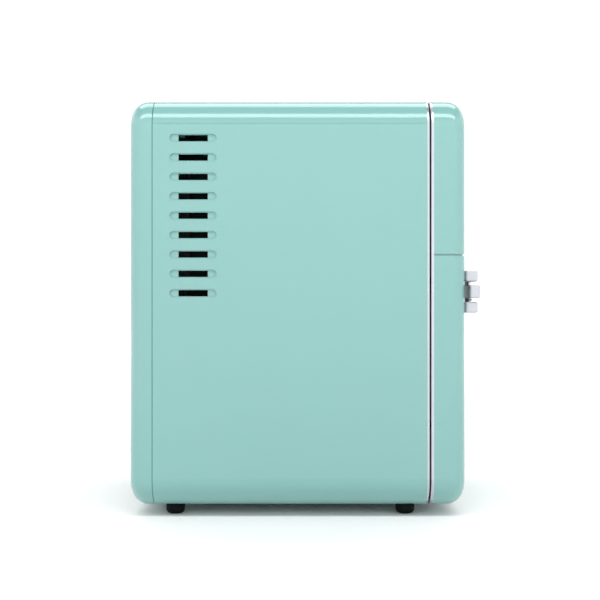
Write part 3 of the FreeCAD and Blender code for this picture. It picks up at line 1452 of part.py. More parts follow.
def latch_spring():
    """A torsion spring on the latch pin, between the lever and the lower cheek."""
    body = new_body("spring_body")
    base = "(latch_height - latch_cheek_offset + latch_cheek / 2 + 1.5 * spring_wire)"
    wire = front_sketch(body, "spring_wire_section", LEVER_Y, "-lever_pivot", base)
    ring(wire, "spring_wire", "latch_pin_radius + 3 * spring_wire")
    coil = body.newObject("PartDesign::AdditiveHelix", "spring_coil")
    coil.Profile = wire
    coil.ReferenceAxis = (wire, ["V_Axis"])
    coil.Mode = "pitch-turns-angle"
    bind(coil, "Pitch", "spring_pitch")
    bind(coil, "Turns", "spring_turns")
    doc.recompute()
    node(body, "latch_spring")


def fasteners():
    """Screws that hold the rear cover and the rear fan."""
    under_head = f"{PARTING} + well_floor"
    cover = [screw(f"cover_screw_{index}", "y", under_head, f"{under_head} - cover_screw_length",
                   f"{under_head} + head_height", where)
             for index, where in enumerate(COVER_SCREWS)]
    node(group("cover_fasteners", cover), "rear_cover_screws")
    rear = f"({FIN_TIPS} + rear_fan_depth)"
    fan = [screw(f"fan_screw_{index}", "y", rear, f"{FIN_TIPS} - fan_screw_bite", f"{rear} + head_height",
                 where, radius="fan_screw_radius", head="fan_screw_head")
           for index, where in enumerate(corners("rear_fan_screw", "rear_fan_screw", "0", "stack_height"))]
    node(group("fan_fasteners", fan), "rear_fan_screws")


def build():
    outer_shell()
    rear_cover()
    cabinet_trim = trim_ring("cabinet_trim", SHELL_FRONT, "trim_depth", TRIM_FRONT, "trim_lip")
    slots = [arm_slot("trim_slot_" + name, level) for name, (level, _) in HINGE_LEVELS.items()]
    node(cut("cabinet_trim_cut", cabinet_trim, slots), "cabinet_trim_ring")
    for name, (x, y) in FEET.items():
        foot(name, x, y)
    hinge_fasteners = []
    for name, (level, side) in HINGE_LEVELS.items():
        hinge_fasteners += hinge_arm(name, level, side)
        hinge_carrier(name, level)
    node(group("hinge_fasteners", hinge_fasteners), "hinge_screws")
    inner_liner()
    foam_insulation()
    shelf()
    stack()
    fan_frame("rear_fan", "rear_fan_side", "rear_fan_depth", "rear_fan_hub", FIN_TIPS,
              "rear_fan_screw", "fan_screw_radius + close_gap")
    fan_rotor("rear_fan", "rear_fan_side", "rear_fan_depth", "rear_fan_hub", FIN_TIPS)
    inner_front = f"({COLD_TIPS} - inner_fan_depth)"
    fan_frame("inner_fan", "inner_fan_side", "inner_fan_depth", "inner_fan_hub", inner_front,
              "inner_fan_screw", "inner_fan_hole")
    fan_rotor("inner_fan", "inner_fan_side", "inner_fan_depth", "inner_fan_hub", inner_front)
    inner_fan_cover()
    inlet("ac_inlet", "-fitting_spacing", "mains_length", "mains_height", "mains_pin", "mains_spacing")
    inlet("dc_inlet", "0", "supply_length", "supply_height", "supply_pin", "supply_spacing")
    mode_switch()
    power_board()
    fasteners()
    door_skin()
    door_trim = trim_ring("door_trim", DOOR_REAR, "door_trim_depth", DOOR_REAR, "trim_edge")
    slots = [hinge_slot("door_trim_slot_" + name, level) for name, (level, _) in HINGE_LEVELS.items()]
    node(cut("door_trim_cut", door_trim, slots), "door_trim_ring")
    door_liner()
    for name, base in BINS.items():
        door_bin(name, base)
    door_foam()
    catch()
    door_gasket()
    latch_bracket()
    latch_lever()
    latch_spring()


def check():
    """Stops if any object failed or any sub-part isn't a valid solid."""
    doc.recompute()
    for item in doc.Objects:
        if "Invalid" in item.State or "Error" in item.State:
            raise RuntimeError(f"{item.Name} ({item.Label}) failed: {item.State}")
    for item in nodes:
        if item.Shape.isNull() or not item.Shape.isValid() or not item.Shape.Solids:
            raise RuntimeError(f"{item.Label} has no valid solid")


def export():
    os.makedirs("parts", exist_ok=True)
    for item in nodes:
        item.Shape.exportStep(os.path.join("parts", item.Label + ".step"))
    print(len(nodes), "nodes")


build()
check()
export()
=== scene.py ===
import json
import math

import bmesh
import bpy
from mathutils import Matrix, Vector


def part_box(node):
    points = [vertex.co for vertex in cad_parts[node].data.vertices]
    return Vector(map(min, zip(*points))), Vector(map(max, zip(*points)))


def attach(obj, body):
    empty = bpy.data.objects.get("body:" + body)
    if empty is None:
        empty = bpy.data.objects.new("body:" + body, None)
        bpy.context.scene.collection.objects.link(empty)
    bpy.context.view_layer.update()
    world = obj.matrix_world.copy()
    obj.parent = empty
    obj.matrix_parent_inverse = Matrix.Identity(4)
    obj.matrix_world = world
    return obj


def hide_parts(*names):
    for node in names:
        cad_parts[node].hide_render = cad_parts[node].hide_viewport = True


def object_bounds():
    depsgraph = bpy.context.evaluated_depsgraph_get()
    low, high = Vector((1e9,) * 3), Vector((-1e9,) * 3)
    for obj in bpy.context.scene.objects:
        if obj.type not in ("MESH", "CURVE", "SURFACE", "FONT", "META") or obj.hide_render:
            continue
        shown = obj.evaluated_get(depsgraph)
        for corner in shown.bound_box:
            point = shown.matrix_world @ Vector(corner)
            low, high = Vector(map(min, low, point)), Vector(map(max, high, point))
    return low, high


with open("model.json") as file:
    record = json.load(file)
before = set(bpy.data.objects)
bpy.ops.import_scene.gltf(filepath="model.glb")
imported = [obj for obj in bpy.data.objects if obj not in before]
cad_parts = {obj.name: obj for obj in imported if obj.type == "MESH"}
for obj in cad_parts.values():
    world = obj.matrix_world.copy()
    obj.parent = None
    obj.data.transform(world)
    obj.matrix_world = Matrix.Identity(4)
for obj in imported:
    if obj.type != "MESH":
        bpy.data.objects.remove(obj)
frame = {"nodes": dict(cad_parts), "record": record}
cad_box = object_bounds()
NODES = frame["nodes"]
MM = 0.001

# ---------------------------------------------------------------- material nodes


class Graph:
    """Short calls for building one material's node tree."""

    def __init__(self, name):
        self.material = bpy.data.materials.new(name)
        self.material.use_nodes = True
        self.nodes = self.material.node_tree.nodes
        self.links = self.material.node_tree.links
        self.shader = self.nodes["Principled BSDF"]
        self.coordinates = self.nodes.new("ShaderNodeTexCoord").outputs["Object"]

    def stretched(self, scale):
        mapping = self.nodes.new("ShaderNodeMapping")
        mapping.inputs["Scale"].default_value = scale
        self.links.new(self.coordinates, mapping.inputs["Vector"])
        return mapping.outputs["Vector"]

    def noise(self, scale, detail=2.0, roughness=0.5, stretch=(1, 1, 1)):
        texture = self.nodes.new("ShaderNodeTexNoise")
        texture.inputs["Scale"].default_value = scale
        texture.inputs["Detail"].default_value = detail
        texture.inputs["Roughness"].default_value = roughness
        self.links.new(self.stretched(stretch), texture.inputs["Vector"])
        return texture.outputs["Fac"]

    def cells(self, scale):
        texture = self.nodes.new("ShaderNodeTexVoronoi")
        texture.inputs["Scale"].default_value = scale
        self.links.new(self.coordinates, texture.inputs["Vector"])
        return texture.outputs["Distance"]

    def distance_from(self, axis, place):
        """How far a point is from a plane across one axis."""
        split = self.nodes.new("ShaderNodeSeparateXYZ")
        self.links.new(self.coordinates, split.inputs["Vector"])
        value = split.outputs[axis]
        for operation, number in (("SUBTRACT", place), ("ABSOLUTE", 0)):
            step = self.nodes.new("ShaderNodeMath")
            step.operation = operation
            self.links.new(value, step.inputs[0])
            step.inputs[1].default_value = number
            value = step.outputs["Value"]
        return value

    def distance(self):
        """How far a point is from the object's own origin."""
        length = self.nodes.new("ShaderNodeVectorMath")
        length.operation = "LENGTH"
        self.links.new(self.coordinates, length.inputs[0])
        return length.outputs["Value"]

    def spread(self, value, low, high, start=0.3, end=0.7):
        """Maps a texture's usual span onto low to high."""
        span = self.nodes.new("ShaderNodeMapRange")
        span.inputs["From Min"].default_value = start
        span.inputs["From Max"].default_value = end
        span.inputs["To Min"].default_value = low
        span.inputs["To Max"].default_value = high
        self.links.new(value, span.inputs["Value"])
        return span.outputs["Result"]

    def blend(self, factor, first, second):
        """A colour between two, by a factor socket. Either may be a socket or a colour."""
        mix = self.nodes.new("ShaderNodeMix")
        mix.data_type = "RGBA"
        self.links.new(factor, mix.inputs["Factor"])
        for socket, colour in ((mix.inputs["A"], first), (mix.inputs["B"], second)):
            if isinstance(colour, bpy.types.NodeSocket):
                self.links.new(colour, socket)
            else:
                socket.default_value = (*colour, 1)
        return mix.outputs["Result"]

    def relief(self, layers):
        """Stacks bump layers, each a height socket and its depth in metres."""
        normal = None
        for height, depth in layers:
            bump = self.nodes.new("ShaderNodeBump")
            bump.inputs["Strength"].default_value = 1
            bump.inputs["Distance"].default_value = depth
            self.links.new(height, bump.inputs["Height"])
            if normal is not None:
                self.links.new(normal, bump.inputs["Normal"])
            normal = bump.outputs["Normal"]
        self.links.new(normal, self.shader.inputs["Normal"])

    def set(self, **values):
        """Puts plain numbers and colours on the shader's own sockets."""
        for name, value in values.items():
            socket = self.shader.inputs[name.replace("_", " ")]
            socket.default_value = (*value, 1) if isinstance(value, tuple) else value

    def drive(self, name, socket):
        self.links.new(socket, self.shader.inputs[name])


def shade(colour, factor):
    return tuple(min(1.0, channel * factor) for channel in colour)


def moulded(name, colour, roughness, grain=900, depth=0.000006, drift=0.03):
    """Moulded plastic: a little colour drift, flow marks and a fine skin texture."""
    graph = Graph(name)
    cloud = graph.noise(7, 3)
    flow = graph.noise(26, 4, stretch=(1, 1, 0.35))
    skin = graph.noise(grain, 2)
    tone = graph.blend(graph.spread(cloud, 0, 1), shade(colour, 1 - drift), shade(colour, 1 + drift))
    graph.drive("Base Color", tone)
    graph.drive("Roughness", graph.spread(flow, roughness * 0.85, roughness * 1.2))
    graph.relief([(flow, depth * 3), (skin, depth)])
    graph.set(IOR=1.5)
    return graph.material


def metal(name, colour, roughness, stretch=(1, 1, 1), grain=700, depth=0.000004, drift=0.04):
    """Plated or brushed metal: streaks along one direction and faint handling marks."""
    graph = Graph(name)
    streaks = graph.noise(grain, 3, 0.6, stretch)
    marks = graph.noise(38, 4)
    tone = graph.blend(graph.spread(streaks, 0, 1), shade(colour, 1 - drift), shade(colour, 1 + drift))
    graph.drive("Base Color", tone)
    graph.drive("Roughness", graph.spread(marks, roughness * 0.75, roughness * 1.35))
    graph.relief([(streaks, depth)])
    graph.set(Metallic=1.0)
    return graph.material


def painted_silver(name, colour, roughness):
    """Silver lacquer on plastic: fine flakes in a satin, half metallic coat."""
    graph = Graph(name)
    flakes = graph.cells(2600)
    cloud = graph.noise(30, 3)
    tone = graph.blend(graph.spread(flakes, 0, 1, 0.1, 0.7), shade(colour, 1.02), shade(colour, 0.98))
    graph.drive("Base Color", tone)
    graph.drive("Roughness", graph.spread(cloud, roughness * 0.85, roughness * 1.2))
    graph.relief([(flakes, 0.0000006), (cloud, 0.000004)])
    graph.set(Metallic=0.3, Coat_Weight=0.2, Coat_Roughness=0.2)
    return graph.material


def frosted(name, colour):
    """Milky see-through plastic with flow lines and rubbed patches."""
    graph = Graph(name)
    flow = graph.noise(40, 4, stretch=(1, 1, 0.3))
    rub = graph.noise(260, 3)
    graph.drive("Base Color", graph.blend(graph.spread(flow, 0, 1), shade(colour, 0.96), colour))
    graph.drive("Roughness", graph.spread(rub, 0.30, 0.42))
    graph.relief([(flow, 0.000004), (rub, 0.0000006)])
    graph.set(Transmission_Weight=0.55, IOR=1.3)
    return graph.material


def rubber(name, colour, roughness=0.62, gloss=0.35):
    """Moulded rubber: a matte, slightly dusty, pitted skin."""
    graph = Graph(name)
    dust = graph.noise(60, 5, 0.6)
    pits = graph.noise(1500, 2)
    graph.drive("Base Color", graph.blend(graph.spread(dust, 0, 1), colour, shade(colour, 1.7)))
    graph.drive("Roughness", graph.spread(dust, roughness * 0.85, roughness * 1.15))
    graph.relief([(pits, 0.00002)])
    graph.set(Specular_IOR_Level=gloss)
    return graph.material


MINT = (0.175, 0.364, 0.344)
# Painted shade at the joint of the rear cover and the shell: the plane of the joint, then the dark band's
# half width, fade, strength and colour, standing in for contact shadow.
SEAM_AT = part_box("outer_shell")[1][1]
SEAM_SHADE_HALF = 0.45 * MM
SEAM_SHADE_FADE = 0.6
SEAM_SHADE_STRENGTH = 0.85
SEAM_SHADE_COLOUR = (0.045, 0.22, 0.18)


def mint_paint():
    """Gloss paint on the casings, with painted shade: a thin dark band of contact shadow where the rear cover
    meets the shell.
    """
    graph = Graph("mint_gloss_paint")
    cloud = graph.noise(7, 3)
    flow = graph.noise(26, 4, stretch=(1, 1, 0.35))
    peel = graph.noise(420, 2)
    paint = graph.blend(graph.spread(cloud, 0, 1), shade(MINT, 0.988), shade(MINT, 1.012))
    # Painted shade: the paint turns to the dark green near the joint plane, standing in for the contact
    # shadow between the two shells.
    seam_shade = graph.spread(graph.distance_from("Y", SEAM_AT), SEAM_SHADE_STRENGTH, 0, SEAM_SHADE_HALF * SEAM_SHADE_FADE, SEAM_SHADE_HALF)
    graph.drive("Base Color", graph.blend(seam_shade, paint, SEAM_SHADE_COLOUR))
    graph.drive("Roughness", graph.spread(flow, 0.136, 0.192))
    graph.relief([(flow, 0.0000075), (peel, 0.0000025)])
    graph.set(Coat_Weight=0.35, Coat_Roughness=0.04, IOR=1.5)
    return graph.material


MATERIALS = {
    "mint_gloss": mint_paint(),
    "silver_trim": metal("silver_trim_foil", (0.50, 0.52, 0.56), 0.32, stretch=(1, 0.02, 1), grain=900),
    "silver_latch": painted_silver("silver_latch_paint", (0.46, 0.475, 0.51), 0.34),
    "grey_rubber": rubber("grey_seal_rubber", (0.20, 0.235, 0.25)),
    "black_rubber": rubber("black_foot_rubber", (0.0016, 0.0024, 0.0023), gloss=0.12),
    "white_plastic": moulded("white_liner_plastic", (0.80, 0.81, 0.80), 0.30, grain=700, depth=0.0000015,
                             drift=0.015),
    "clear_plastic": frosted("frosted_tray_plastic", (0.86, 0.93, 0.94)),
    "foam": moulded("insulating_foam", (0.80, 0.79, 0.70), 0.85, grain=260, depth=0.00012),
    "bare_aluminium": metal("extruded_aluminium", (0.60, 0.61, 0.62), 0.36, stretch=(1, 1, 0.03), grain=1200),
    "black_aluminium": metal("black_anodised_fins", (0.012, 0.013, 0.014), 0.4, stretch=(1, 1, 0.03),
                             grain=1200),
    "white_ceramic": moulded("module_ceramic", (0.80, 0.80, 0.77), 0.5, grain=1400),
    "black_plastic": moulded("black_fitting_plastic", (0.016, 0.017, 0.018), 0.42, grain=1300, depth=0.00001),
    "board_green": moulded("board_mask", (0.020, 0.12, 0.05), 0.3, grain=600),
    "plated_brass": metal("plated_contacts", (0.74, 0.66, 0.44), 0.22),
    "steel": metal("zinc_plated_steel", (0.52, 0.53, 0.54), 0.34, grain=500),
    "dark_magnet": moulded("ferrite_bar", (0.03, 0.03, 0.034), 0.7, grain=900, depth=0.00003),
}

SLOT_OF = {entry["node"]: entry["material_slot"] for entry in frame["record"]["subparts"]}


def dress_cad_nodes():
    """Gives every CAD node its slot's material."""
    for name, item in NODES.items():
        item.data.materials.clear()
        item.data.materials.append(MATERIALS[SLOT_OF[name]])


dress_cad_nodes()

# ---------------------------------------------------------------- mesh pieces

WELD = 0.000002
TURNED_COLUMNS = 56


def surface(mesh, point, rows, columns, wrap_rows=False, caps=False):
    """A grid of quads closed round its columns, with its vertices from point(row share, column share)."""
    row_count = rows if wrap_rows else rows + 1
    grid = [[mesh.verts.new(point(row / rows, column / columns)) for column in range(columns)]
            for row in range(row_count)]
    for row in range(rows):
        near, far = grid[row], grid[(row + 1) % row_count]
        for column in range(columns):
            beside = (column + 1) % columns
            mesh.faces.new((near[column], near[beside], far[beside], far[column]))
    if caps:
        mesh.faces.new(grid[0])
        mesh.faces.new(grid[-1])


def turned(mesh, base, outline):
    """A turned shape on an upright axis, from pairs of radius and height above its base."""

    def point(row, turn):
        radius, height = outline[round(row * (len(outline) - 1))]
        angle = 2 * math.pi * turn
        return base + Vector((radius * math.cos(angle), radius * math.sin(angle), height))

    surface(mesh, point, len(outline) - 1, TURNED_COLUMNS)


def piece(name, mesh, slot, body, *replaced, crease=35):
    """Turns a bmesh into a shown piece that rides on a body and stands for the CAD nodes named."""
    bmesh.ops.remove_doubles(mesh, verts=mesh.verts, dist=WELD)
    bmesh.ops.dissolve_degenerate(mesh, edges=mesh.edges, dist=WELD)
    bmesh.ops.recalc_face_normals(mesh, faces=mesh.faces)
    data = bpy.data.meshes.new(name)
    mesh.to_mesh(data)
    mesh.free()
    data.materials.append(MATERIALS[slot])
    data.shade_smooth()
    data.set_sharp_from_angle(angle=math.radians(crease))
    item = bpy.data.objects.new(name, data)
    bpy.context.scene.collection.objects.link(item)
    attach(item, body)
    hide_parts(*replaced)


def clamp(value):
    return max(0.0, min(1.0, value))


def solids_of(node):
    """The points of each separate solid of a CAD node, in a fixed order."""
    mesh = bmesh.new()
    mesh.from_mesh(NODES[node].data)
    bmesh.ops.remove_doubles(mesh, verts=mesh.verts, dist=WELD)
    mesh.verts.ensure_lookup_table()
    seen = set()
    solids = []
    for start in mesh.verts:
        if start.index in seen:
            continue
        seen.add(start.index)
        waiting = [start]
        points = []
        while waiting:
            vertex = waiting.pop()
            points.append(vertex.co.copy())
            for edge in vertex.link_edges:
                other = edge.other_vert(vertex)
                if other.index not in seen:
                    seen.add(other.index)
                    waiting.append(other)
        solids.append(points)
    mesh.free()
    return solids


# Screws: a domed head with a cross recess, and a threaded shank with a pointed end.

RIM_SHARE = 0.95
SHANK_SHARE = 0.9
HEAD_ROWS = 16
HEAD_COLUMNS = 48
RECESS_REACH = 0.52
RECESS_WIDTH = 0.15
RECESS_SLOPE = 0.10
RECESS_DEPTH = 0.62
TOP_SHARE = 0.8
DOME_FULLNESS = 0.9
DOME_DROP = 0.45
DOME_CURVE = 1.6
THREAD_PITCH = 1.2 * MM
THREAD_ROWS = 5
THREAD_COLUMNS = 18
THREAD_CORE = 0.72
THREAD_CURVE = 1.5
TIP_RADIUS = 0.12
TIP_LENGTH = 2.2


def screw_frame(points):
    """A screw's top, outward direction, length, head radius, head height and shank radius."""
    low = Vector(min(point[axis] for point in points) for axis in range(3))
    high = Vector(max(point[axis] for point in points) for axis in range(3))
    size = high - low
    along = max(range(3), key=lambda axis: size[axis])
    centre = (low + high) / 2
    head_radius = min(size) / 2
    out = Vector((0, 0, 0))
    out[along] = 1

    def away(point):
        offset = point - centre
        return (offset - out * offset.dot(out)).length

    rim = [point[along] for point in points if away(point) > head_radius * RIM_SHARE]
    shank = max(away(point) for point in points if away(point) < head_radius * SHANK_SHARE)
    if sum(rim) / len(rim) < centre[along]:
        out.negate()
    return centre + out * size[along] / 2, out, size[along], head_radius, max(rim) - min(rim), shank


def add_screw(mesh, points):
    top, out, length, head_radius, head_height, shank = screw_frame(points)
    across = Vector((out.y, out.z, out.x))
    beside = out.cross(across)

    def place(radius, turn, depth):
        angle = 2 * math.pi * turn
        return top + (across * math.cos(angle) + beside * math.sin(angle)) * radius - out * depth

    def recess(radius, turn):
        """How deep the cross is at a point of the head."""
        x = abs(radius * math.cos(2 * math.pi * turn)) / head_radius
        y = abs(radius * math.sin(2 * math.pi * turn)) / head_radius
        arms = [clamp((RECESS_WIDTH - wide) / RECESS_SLOPE + 0.5) * clamp((RECESS_REACH - far) / RECESS_SLOPE)
                for wide, far in ((x, y), (y, x))]
        return max(arms) * RECESS_DEPTH * head_height

    def head(row, turn):
        """The top curves down to the rim over the first rows; the last rows are the rim's side."""
        angle = min(1, row / TOP_SHARE) * math.pi / 2
        radius = head_radius * math.sin(angle) ** DOME_FULLNESS
        drop = DOME_DROP * (1 - math.cos(angle)) ** DOME_CURVE
        if row > TOP_SHARE:
            drop += (1 - DOME_DROP) * (row - TOP_SHARE) / (1 - TOP_SHARE)
        return place(radius, turn, head_height * drop + recess(radius, turn))

    surface(mesh, head, HEAD_ROWS, HEAD_COLUMNS, caps=True)
    reach = length - head_height
    turns = reach / THREAD_PITCH

    def thread(row, turn):
        phase = (row * turns + turn) % 1
        crest = 1 - abs(2 * phase - 1)
        radius = shank * (THREAD_CORE + (1 - THREAD_CORE) * crest ** THREAD_CURVE)
        point = clamp((1 - row) * reach / (TIP_LENGTH * shank))
        return place(radius * (TIP_RADIUS + (1 - TIP_RADIUS) * point), turn, head_height + row * reach)

    surface(mesh, thread, round(turns * THREAD_ROWS), THREAD_COLUMNS, caps=True)


def screws(node, body):
    mesh = bmesh.new()
    for points in solids_of(node):
        add_screw(mesh, points)
    piece(node + "_threaded", mesh, "steel", body, node, crease=50)


# Feet: a soft dome with a ring rolled into its sole, and the stem that holds it.
# The outline is in millimetres: radius, then height above the sole.

FOOT_OUTLINE = [(0, 0.9), (2.6, 0.9), (3.1, 0.7), (3.3, 0.25), (3.7, 0), (4.3, 0.05), (5.2, 0.5),
                (5.9, 1.3), (6.3, 2.4), (6.4, 3.6), (6.5, 4.6), (6.5, 5.9), (6.3, 6.4), (5.9, 6.6),
                (5.7, 7.0), (2.7, 7.0), (2.7, 9.3), (3.4, 9.5), (3.3, 10.2), (2.4, 11.4), (0, 11.4)]


def foot(name):
    low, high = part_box(name)
    base = Vector(((low[0] + high[0]) / 2, (low[1] + high[1]) / 2, low[2]))
    mesh = bmesh.new()
    turned(mesh, base, [(radius * MM, height * MM) for radius, height in FOOT_OUTLINE])
    piece(name + "_moulded", mesh, "black_rubber", "cabinet", name)


# Gasket: a flat base, two soft bellows and a lip, swept round the door.
# The outline is in shares: of the width, inwards from the edge, then of the thickness.

GASKET_OUTLINE = [(0.04, 0), (0.96, 0), (1.0, 0.12), (0.95, 0.24), (0.97, 0.42), (0.99, 0.66),
                  (0.93, 0.88), (0.78, 0.99), (0.62, 0.93), (0.53, 0.70), (0.49, 0.52), (0.45, 0.70),
                  (0.37, 0.93), (0.22, 0.98), (0.07, 0.86), (0.02, 0.62), (0.05, 0.36), (0.0, 0.18)]
GASKET_WIDTH = 7 * MM
GASKET_CORNER = 10.5 * MM
CORNER_STEPS = 10


def corner_path(half_width, half_height, radius):
    """Points and outward directions round a rounded rectangle, with an arc at each corner."""
    path = []
    for quarter, (side, level) in enumerate(((1, 1), (-1, 1), (-1, -1), (1, -1))):
        for step in range(CORNER_STEPS + 1):
            angle = (quarter + step / CORNER_STEPS) * math.pi / 2
            outward = Vector((math.cos(angle), 0, math.sin(angle)))
            centre = Vector((side * (half_width - radius), 0, level * (half_height - radius)))
            path.append((centre + outward * radius, outward))
    return path


def gasket():
    low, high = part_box("door_gasket")
    centre = Vector((0, low[1], (low[2] + high[2]) / 2))
    path = corner_path((high[0] - low[0]) / 2, (high[2] - low[2]) / 2, GASKET_CORNER)
    thickness = high[1] - low[1]
    mesh = bmesh.new()

    def profile(row, share):
        place, outward = path[round(row * len(path)) % len(path)]
        inwards, depth = GASKET_OUTLINE[round(share * len(GASKET_OUTLINE)) % len(GASKET_OUTLINE)]
        return centre + place - outward * inwards * GASKET_WIDTH + Vector((0, depth * thickness, 0))

    surface(mesh, profile, len(path), len(GASKET_OUTLINE), wrap_rows=True)
    piece("door_gasket_bellows", mesh, "grey_rubber", "door", "door_gasket", crease=60)


# Fan rotors: a rounded hub, seven twisted blades and a shaft.

BLADES = 7
BLADE_ROWS = 12
BLADE_COLUMNS = 24
BLADE_THICKNESS = 0.55 * MM
ROOT_PITCH = math.radians(52)
TIP_PITCH = math.radians(28)
BLADE_SWEEP = math.radians(16)
BLADE_REACH = 0.46
BLADE_CAMBER = 0.12
BLADE_DEPTH = 0.92
BLADE_MARGIN = 0.2 * MM
REAR_HUB = 13 * MM
INNER_HUB = 8 * MM
HUB_COLUMNS = 48
HUB_STEPS = 6
HUB_ROUND = 1.2 * MM
HUB_WALL = 1.6 * MM
SHAFT_RADIUS = 1.5 * MM


def rotor(node, frame_node, hub_radius, body):
    frame_low, frame_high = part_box(frame_node)
    low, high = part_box(node)
    axis = Vector(((frame_low[0] + frame_high[0]) / 2, 0, (frame_low[2] + frame_high[2]) / 2))
    tip = max(Vector((point.x - axis.x, point.z - axis.z)).length for point in solids_of(node)[0])
    front, back = low[1], high[1]
    rim = back - 2 * HUB_WALL
    mesh = bmesh.new()

    def place(radius, angle, y):
        return axis + Vector((radius * math.cos(angle), y, radius * math.sin(angle)))

    hub = [(0, front)]
    for step in range(HUB_STEPS + 1):
        angle = step / HUB_STEPS * math.pi / 2
        inwards = HUB_ROUND * (1 - math.sin(angle))
        backwards = HUB_ROUND * (1 - math.cos(angle))
        hub.append((hub_radius - inwards, front + backwards))
    hub += [(hub_radius, rim), (hub_radius - HUB_WALL, rim), (hub_radius - HUB_WALL, front + HUB_WALL),
            (SHAFT_RADIUS, front + HUB_WALL), (SHAFT_RADIUS, back), (0, back)]

    def hub_point(row, turn):
        radius, y = hub[round(row * (len(hub) - 1))]
        return place(radius, 2 * math.pi * turn, y)

    surface(mesh, hub_point, len(hub) - 1, HUB_COLUMNS)
    root = hub_radius - HUB_WALL / 2
    middle = (front + rim) / 2
    for blade in range(BLADES):
        start = 2 * math.pi * blade / BLADES

        def airfoil(row, share):
            radius = root + row * (tip - root)
            pitch = ROOT_PITCH + row * (TIP_PITCH - ROOT_PITCH)
            reach = (rim - front) * BLADE_REACH / math.sin(pitch)
            along = math.cos(2 * math.pi * share)
            skin = math.sin(2 * math.pi * share) * BLADE_THICKNESS
            bulge = skin + (1 - along ** 2) * reach * BLADE_CAMBER
            around = along * reach * math.cos(pitch) - bulge * math.sin(pitch)
            forwards = along * reach * math.sin(pitch) + bulge * math.cos(pitch)
            y = min(rim, max(front + BLADE_MARGIN, middle + forwards * BLADE_DEPTH))
            return place(radius, start + around / max(radius, root) + BLADE_SWEEP * row ** 2, y)

        surface(mesh, airfoil, BLADE_ROWS, BLADE_COLUMNS, caps=True)
    piece(node + "_bladed", mesh, "black_plastic", body, node, crease=45)


# Board components: a transformer, a choke, a regulator and two capacitors, each inside its CAD outline.
# Their sizes are shares of that outline, and the edges' radii are in metres.

TRANSFORMER_PLATES = 9
PLATE_SHARE = 0.86
PLATE_EDGE = 0.15 * MM
CORE_DEPTH = 0.60
CORE_SHARE = 0.97
CORE_SETBACK = 0.95
CORE_EDGE = 0.2 * MM
WINDING_WIDTH = 0.58
WINDING_HEIGHT = 0.84
WINDING_EDGE = 1.6 * MM
CHOKE_LOOPS = 26
CHOKE_TUBE = 0.38
LOOP_ROWS = 8
LOOP_COLUMNS = 20
LOOP_RIDGE = 0.10
TAB_DEPTH = 0.28
TAB_EDGE = 0.2 * MM
BODY_WIDTH = 0.94
BODY_DEPTH = 0.96 - TAB_DEPTH
BODY_HEIGHT = 0.62
BODY_EDGE = 0.4 * MM
CAN_OUTLINE = [(0, 0), (0.92, 0), (1, 0.04), (1, 0.12), (0.93, 0.15), (1, 0.19), (1, 0.93), (0.96, 0.98),
               (0.88, 1), (0.80, 0.98), (0.40, 0.98), (0.34, 0.965), (0.28, 0.98), (0, 0.98)]


def rounded_block(mesh, low, high, radius):
    """A block between two corners, with rounded edges."""
    corners = bmesh.ops.create_cube(mesh, size=1)["verts"]
    for vertex in corners:
        vertex.co = Vector(end + (half + 0.5) * (top - end) for end, half, top in zip(low, vertex.co, high))
    edges = dict.fromkeys(edge for vertex in corners for edge in vertex.link_edges)
    bmesh.ops.bevel(mesh, geom=list(edges), offset=radius, segments=3, profile=0.5, affect="EDGES")


def inner_block(mesh, low, high, shares, radius, starts=(0.5, 0.5, 0.5)):
    """A rounded block that takes a share of a space along each axis, placed between its ends."""
    size = [high[axis] - low[axis] for axis in range(3)]
    near = [low[axis] + size[axis] * (1 - shares[axis]) * starts[axis] for axis in range(3)]
    far = [near[axis] + size[axis] * shares[axis] for axis in range(3)]
    rounded_block(mesh, near, far, radius)


def transformer(low, high):
    core = bmesh.new()
    step = 1 / TRANSFORMER_PLATES
    for plate in range(TRANSFORMER_PLATES):
        start = plate / (TRANSFORMER_PLATES - 1)
        inner_block(core, low, high, (1, CORE_DEPTH, step * PLATE_SHARE), PLATE_EDGE, (0.5, 0.5, start))
    inner_block(core, low, high, (CORE_SHARE, CORE_DEPTH * CORE_SETBACK, CORE_SHARE), CORE_EDGE)
    piece("transformer_core", core, "dark_magnet", "cabinet", "board_components")
    winding = bmesh.new()
    inner_block(winding, low, high, (WINDING_WIDTH, 1, WINDING_HEIGHT), WINDING_EDGE)
    piece("transformer_winding", winding, "plated_brass", "cabinet", "board_components")


def choke(low, high):
    centre = (Vector(low) + Vector(high)) / 2
    half_height = (high[2] - low[2]) / 2
    outside = (high[0] - low[0]) / 2
    tube = outside * CHOKE_TUBE
    ring = outside - tube
    mesh = bmesh.new()

    def wound(row, share):
        around = 2 * math.pi * row
        turn = 2 * math.pi * share
        ridge = 1 - LOOP_RIDGE * (1 - abs(math.cos(CHOKE_LOOPS * around / 2)))
        radius = ring + tube * ridge * math.cos(turn)
        return centre + Vector((radius * math.cos(around), radius * math.sin(around),
                                half_height * ridge * math.sin(turn)))

    surface(mesh, wound, CHOKE_LOOPS * LOOP_ROWS, LOOP_COLUMNS, wrap_rows=True)
    piece("choke_winding", mesh, "plated_brass", "cabinet", "board_components")


def regulator(low, high):
    tab = bmesh.new()
    inner_block(tab, low, high, (1, TAB_DEPTH, 1), TAB_EDGE, (0.5, 1, 0.5))
    piece("regulator_tab", tab, "bare_aluminium", "cabinet", "board_components")
    body = bmesh.new()
    inner_block(body, low, high, (BODY_WIDTH, BODY_DEPTH, BODY_HEIGHT), BODY_EDGE, (0.5, 0, 0))
    piece("regulator_body", body, "black_plastic", "cabinet", "board_components")


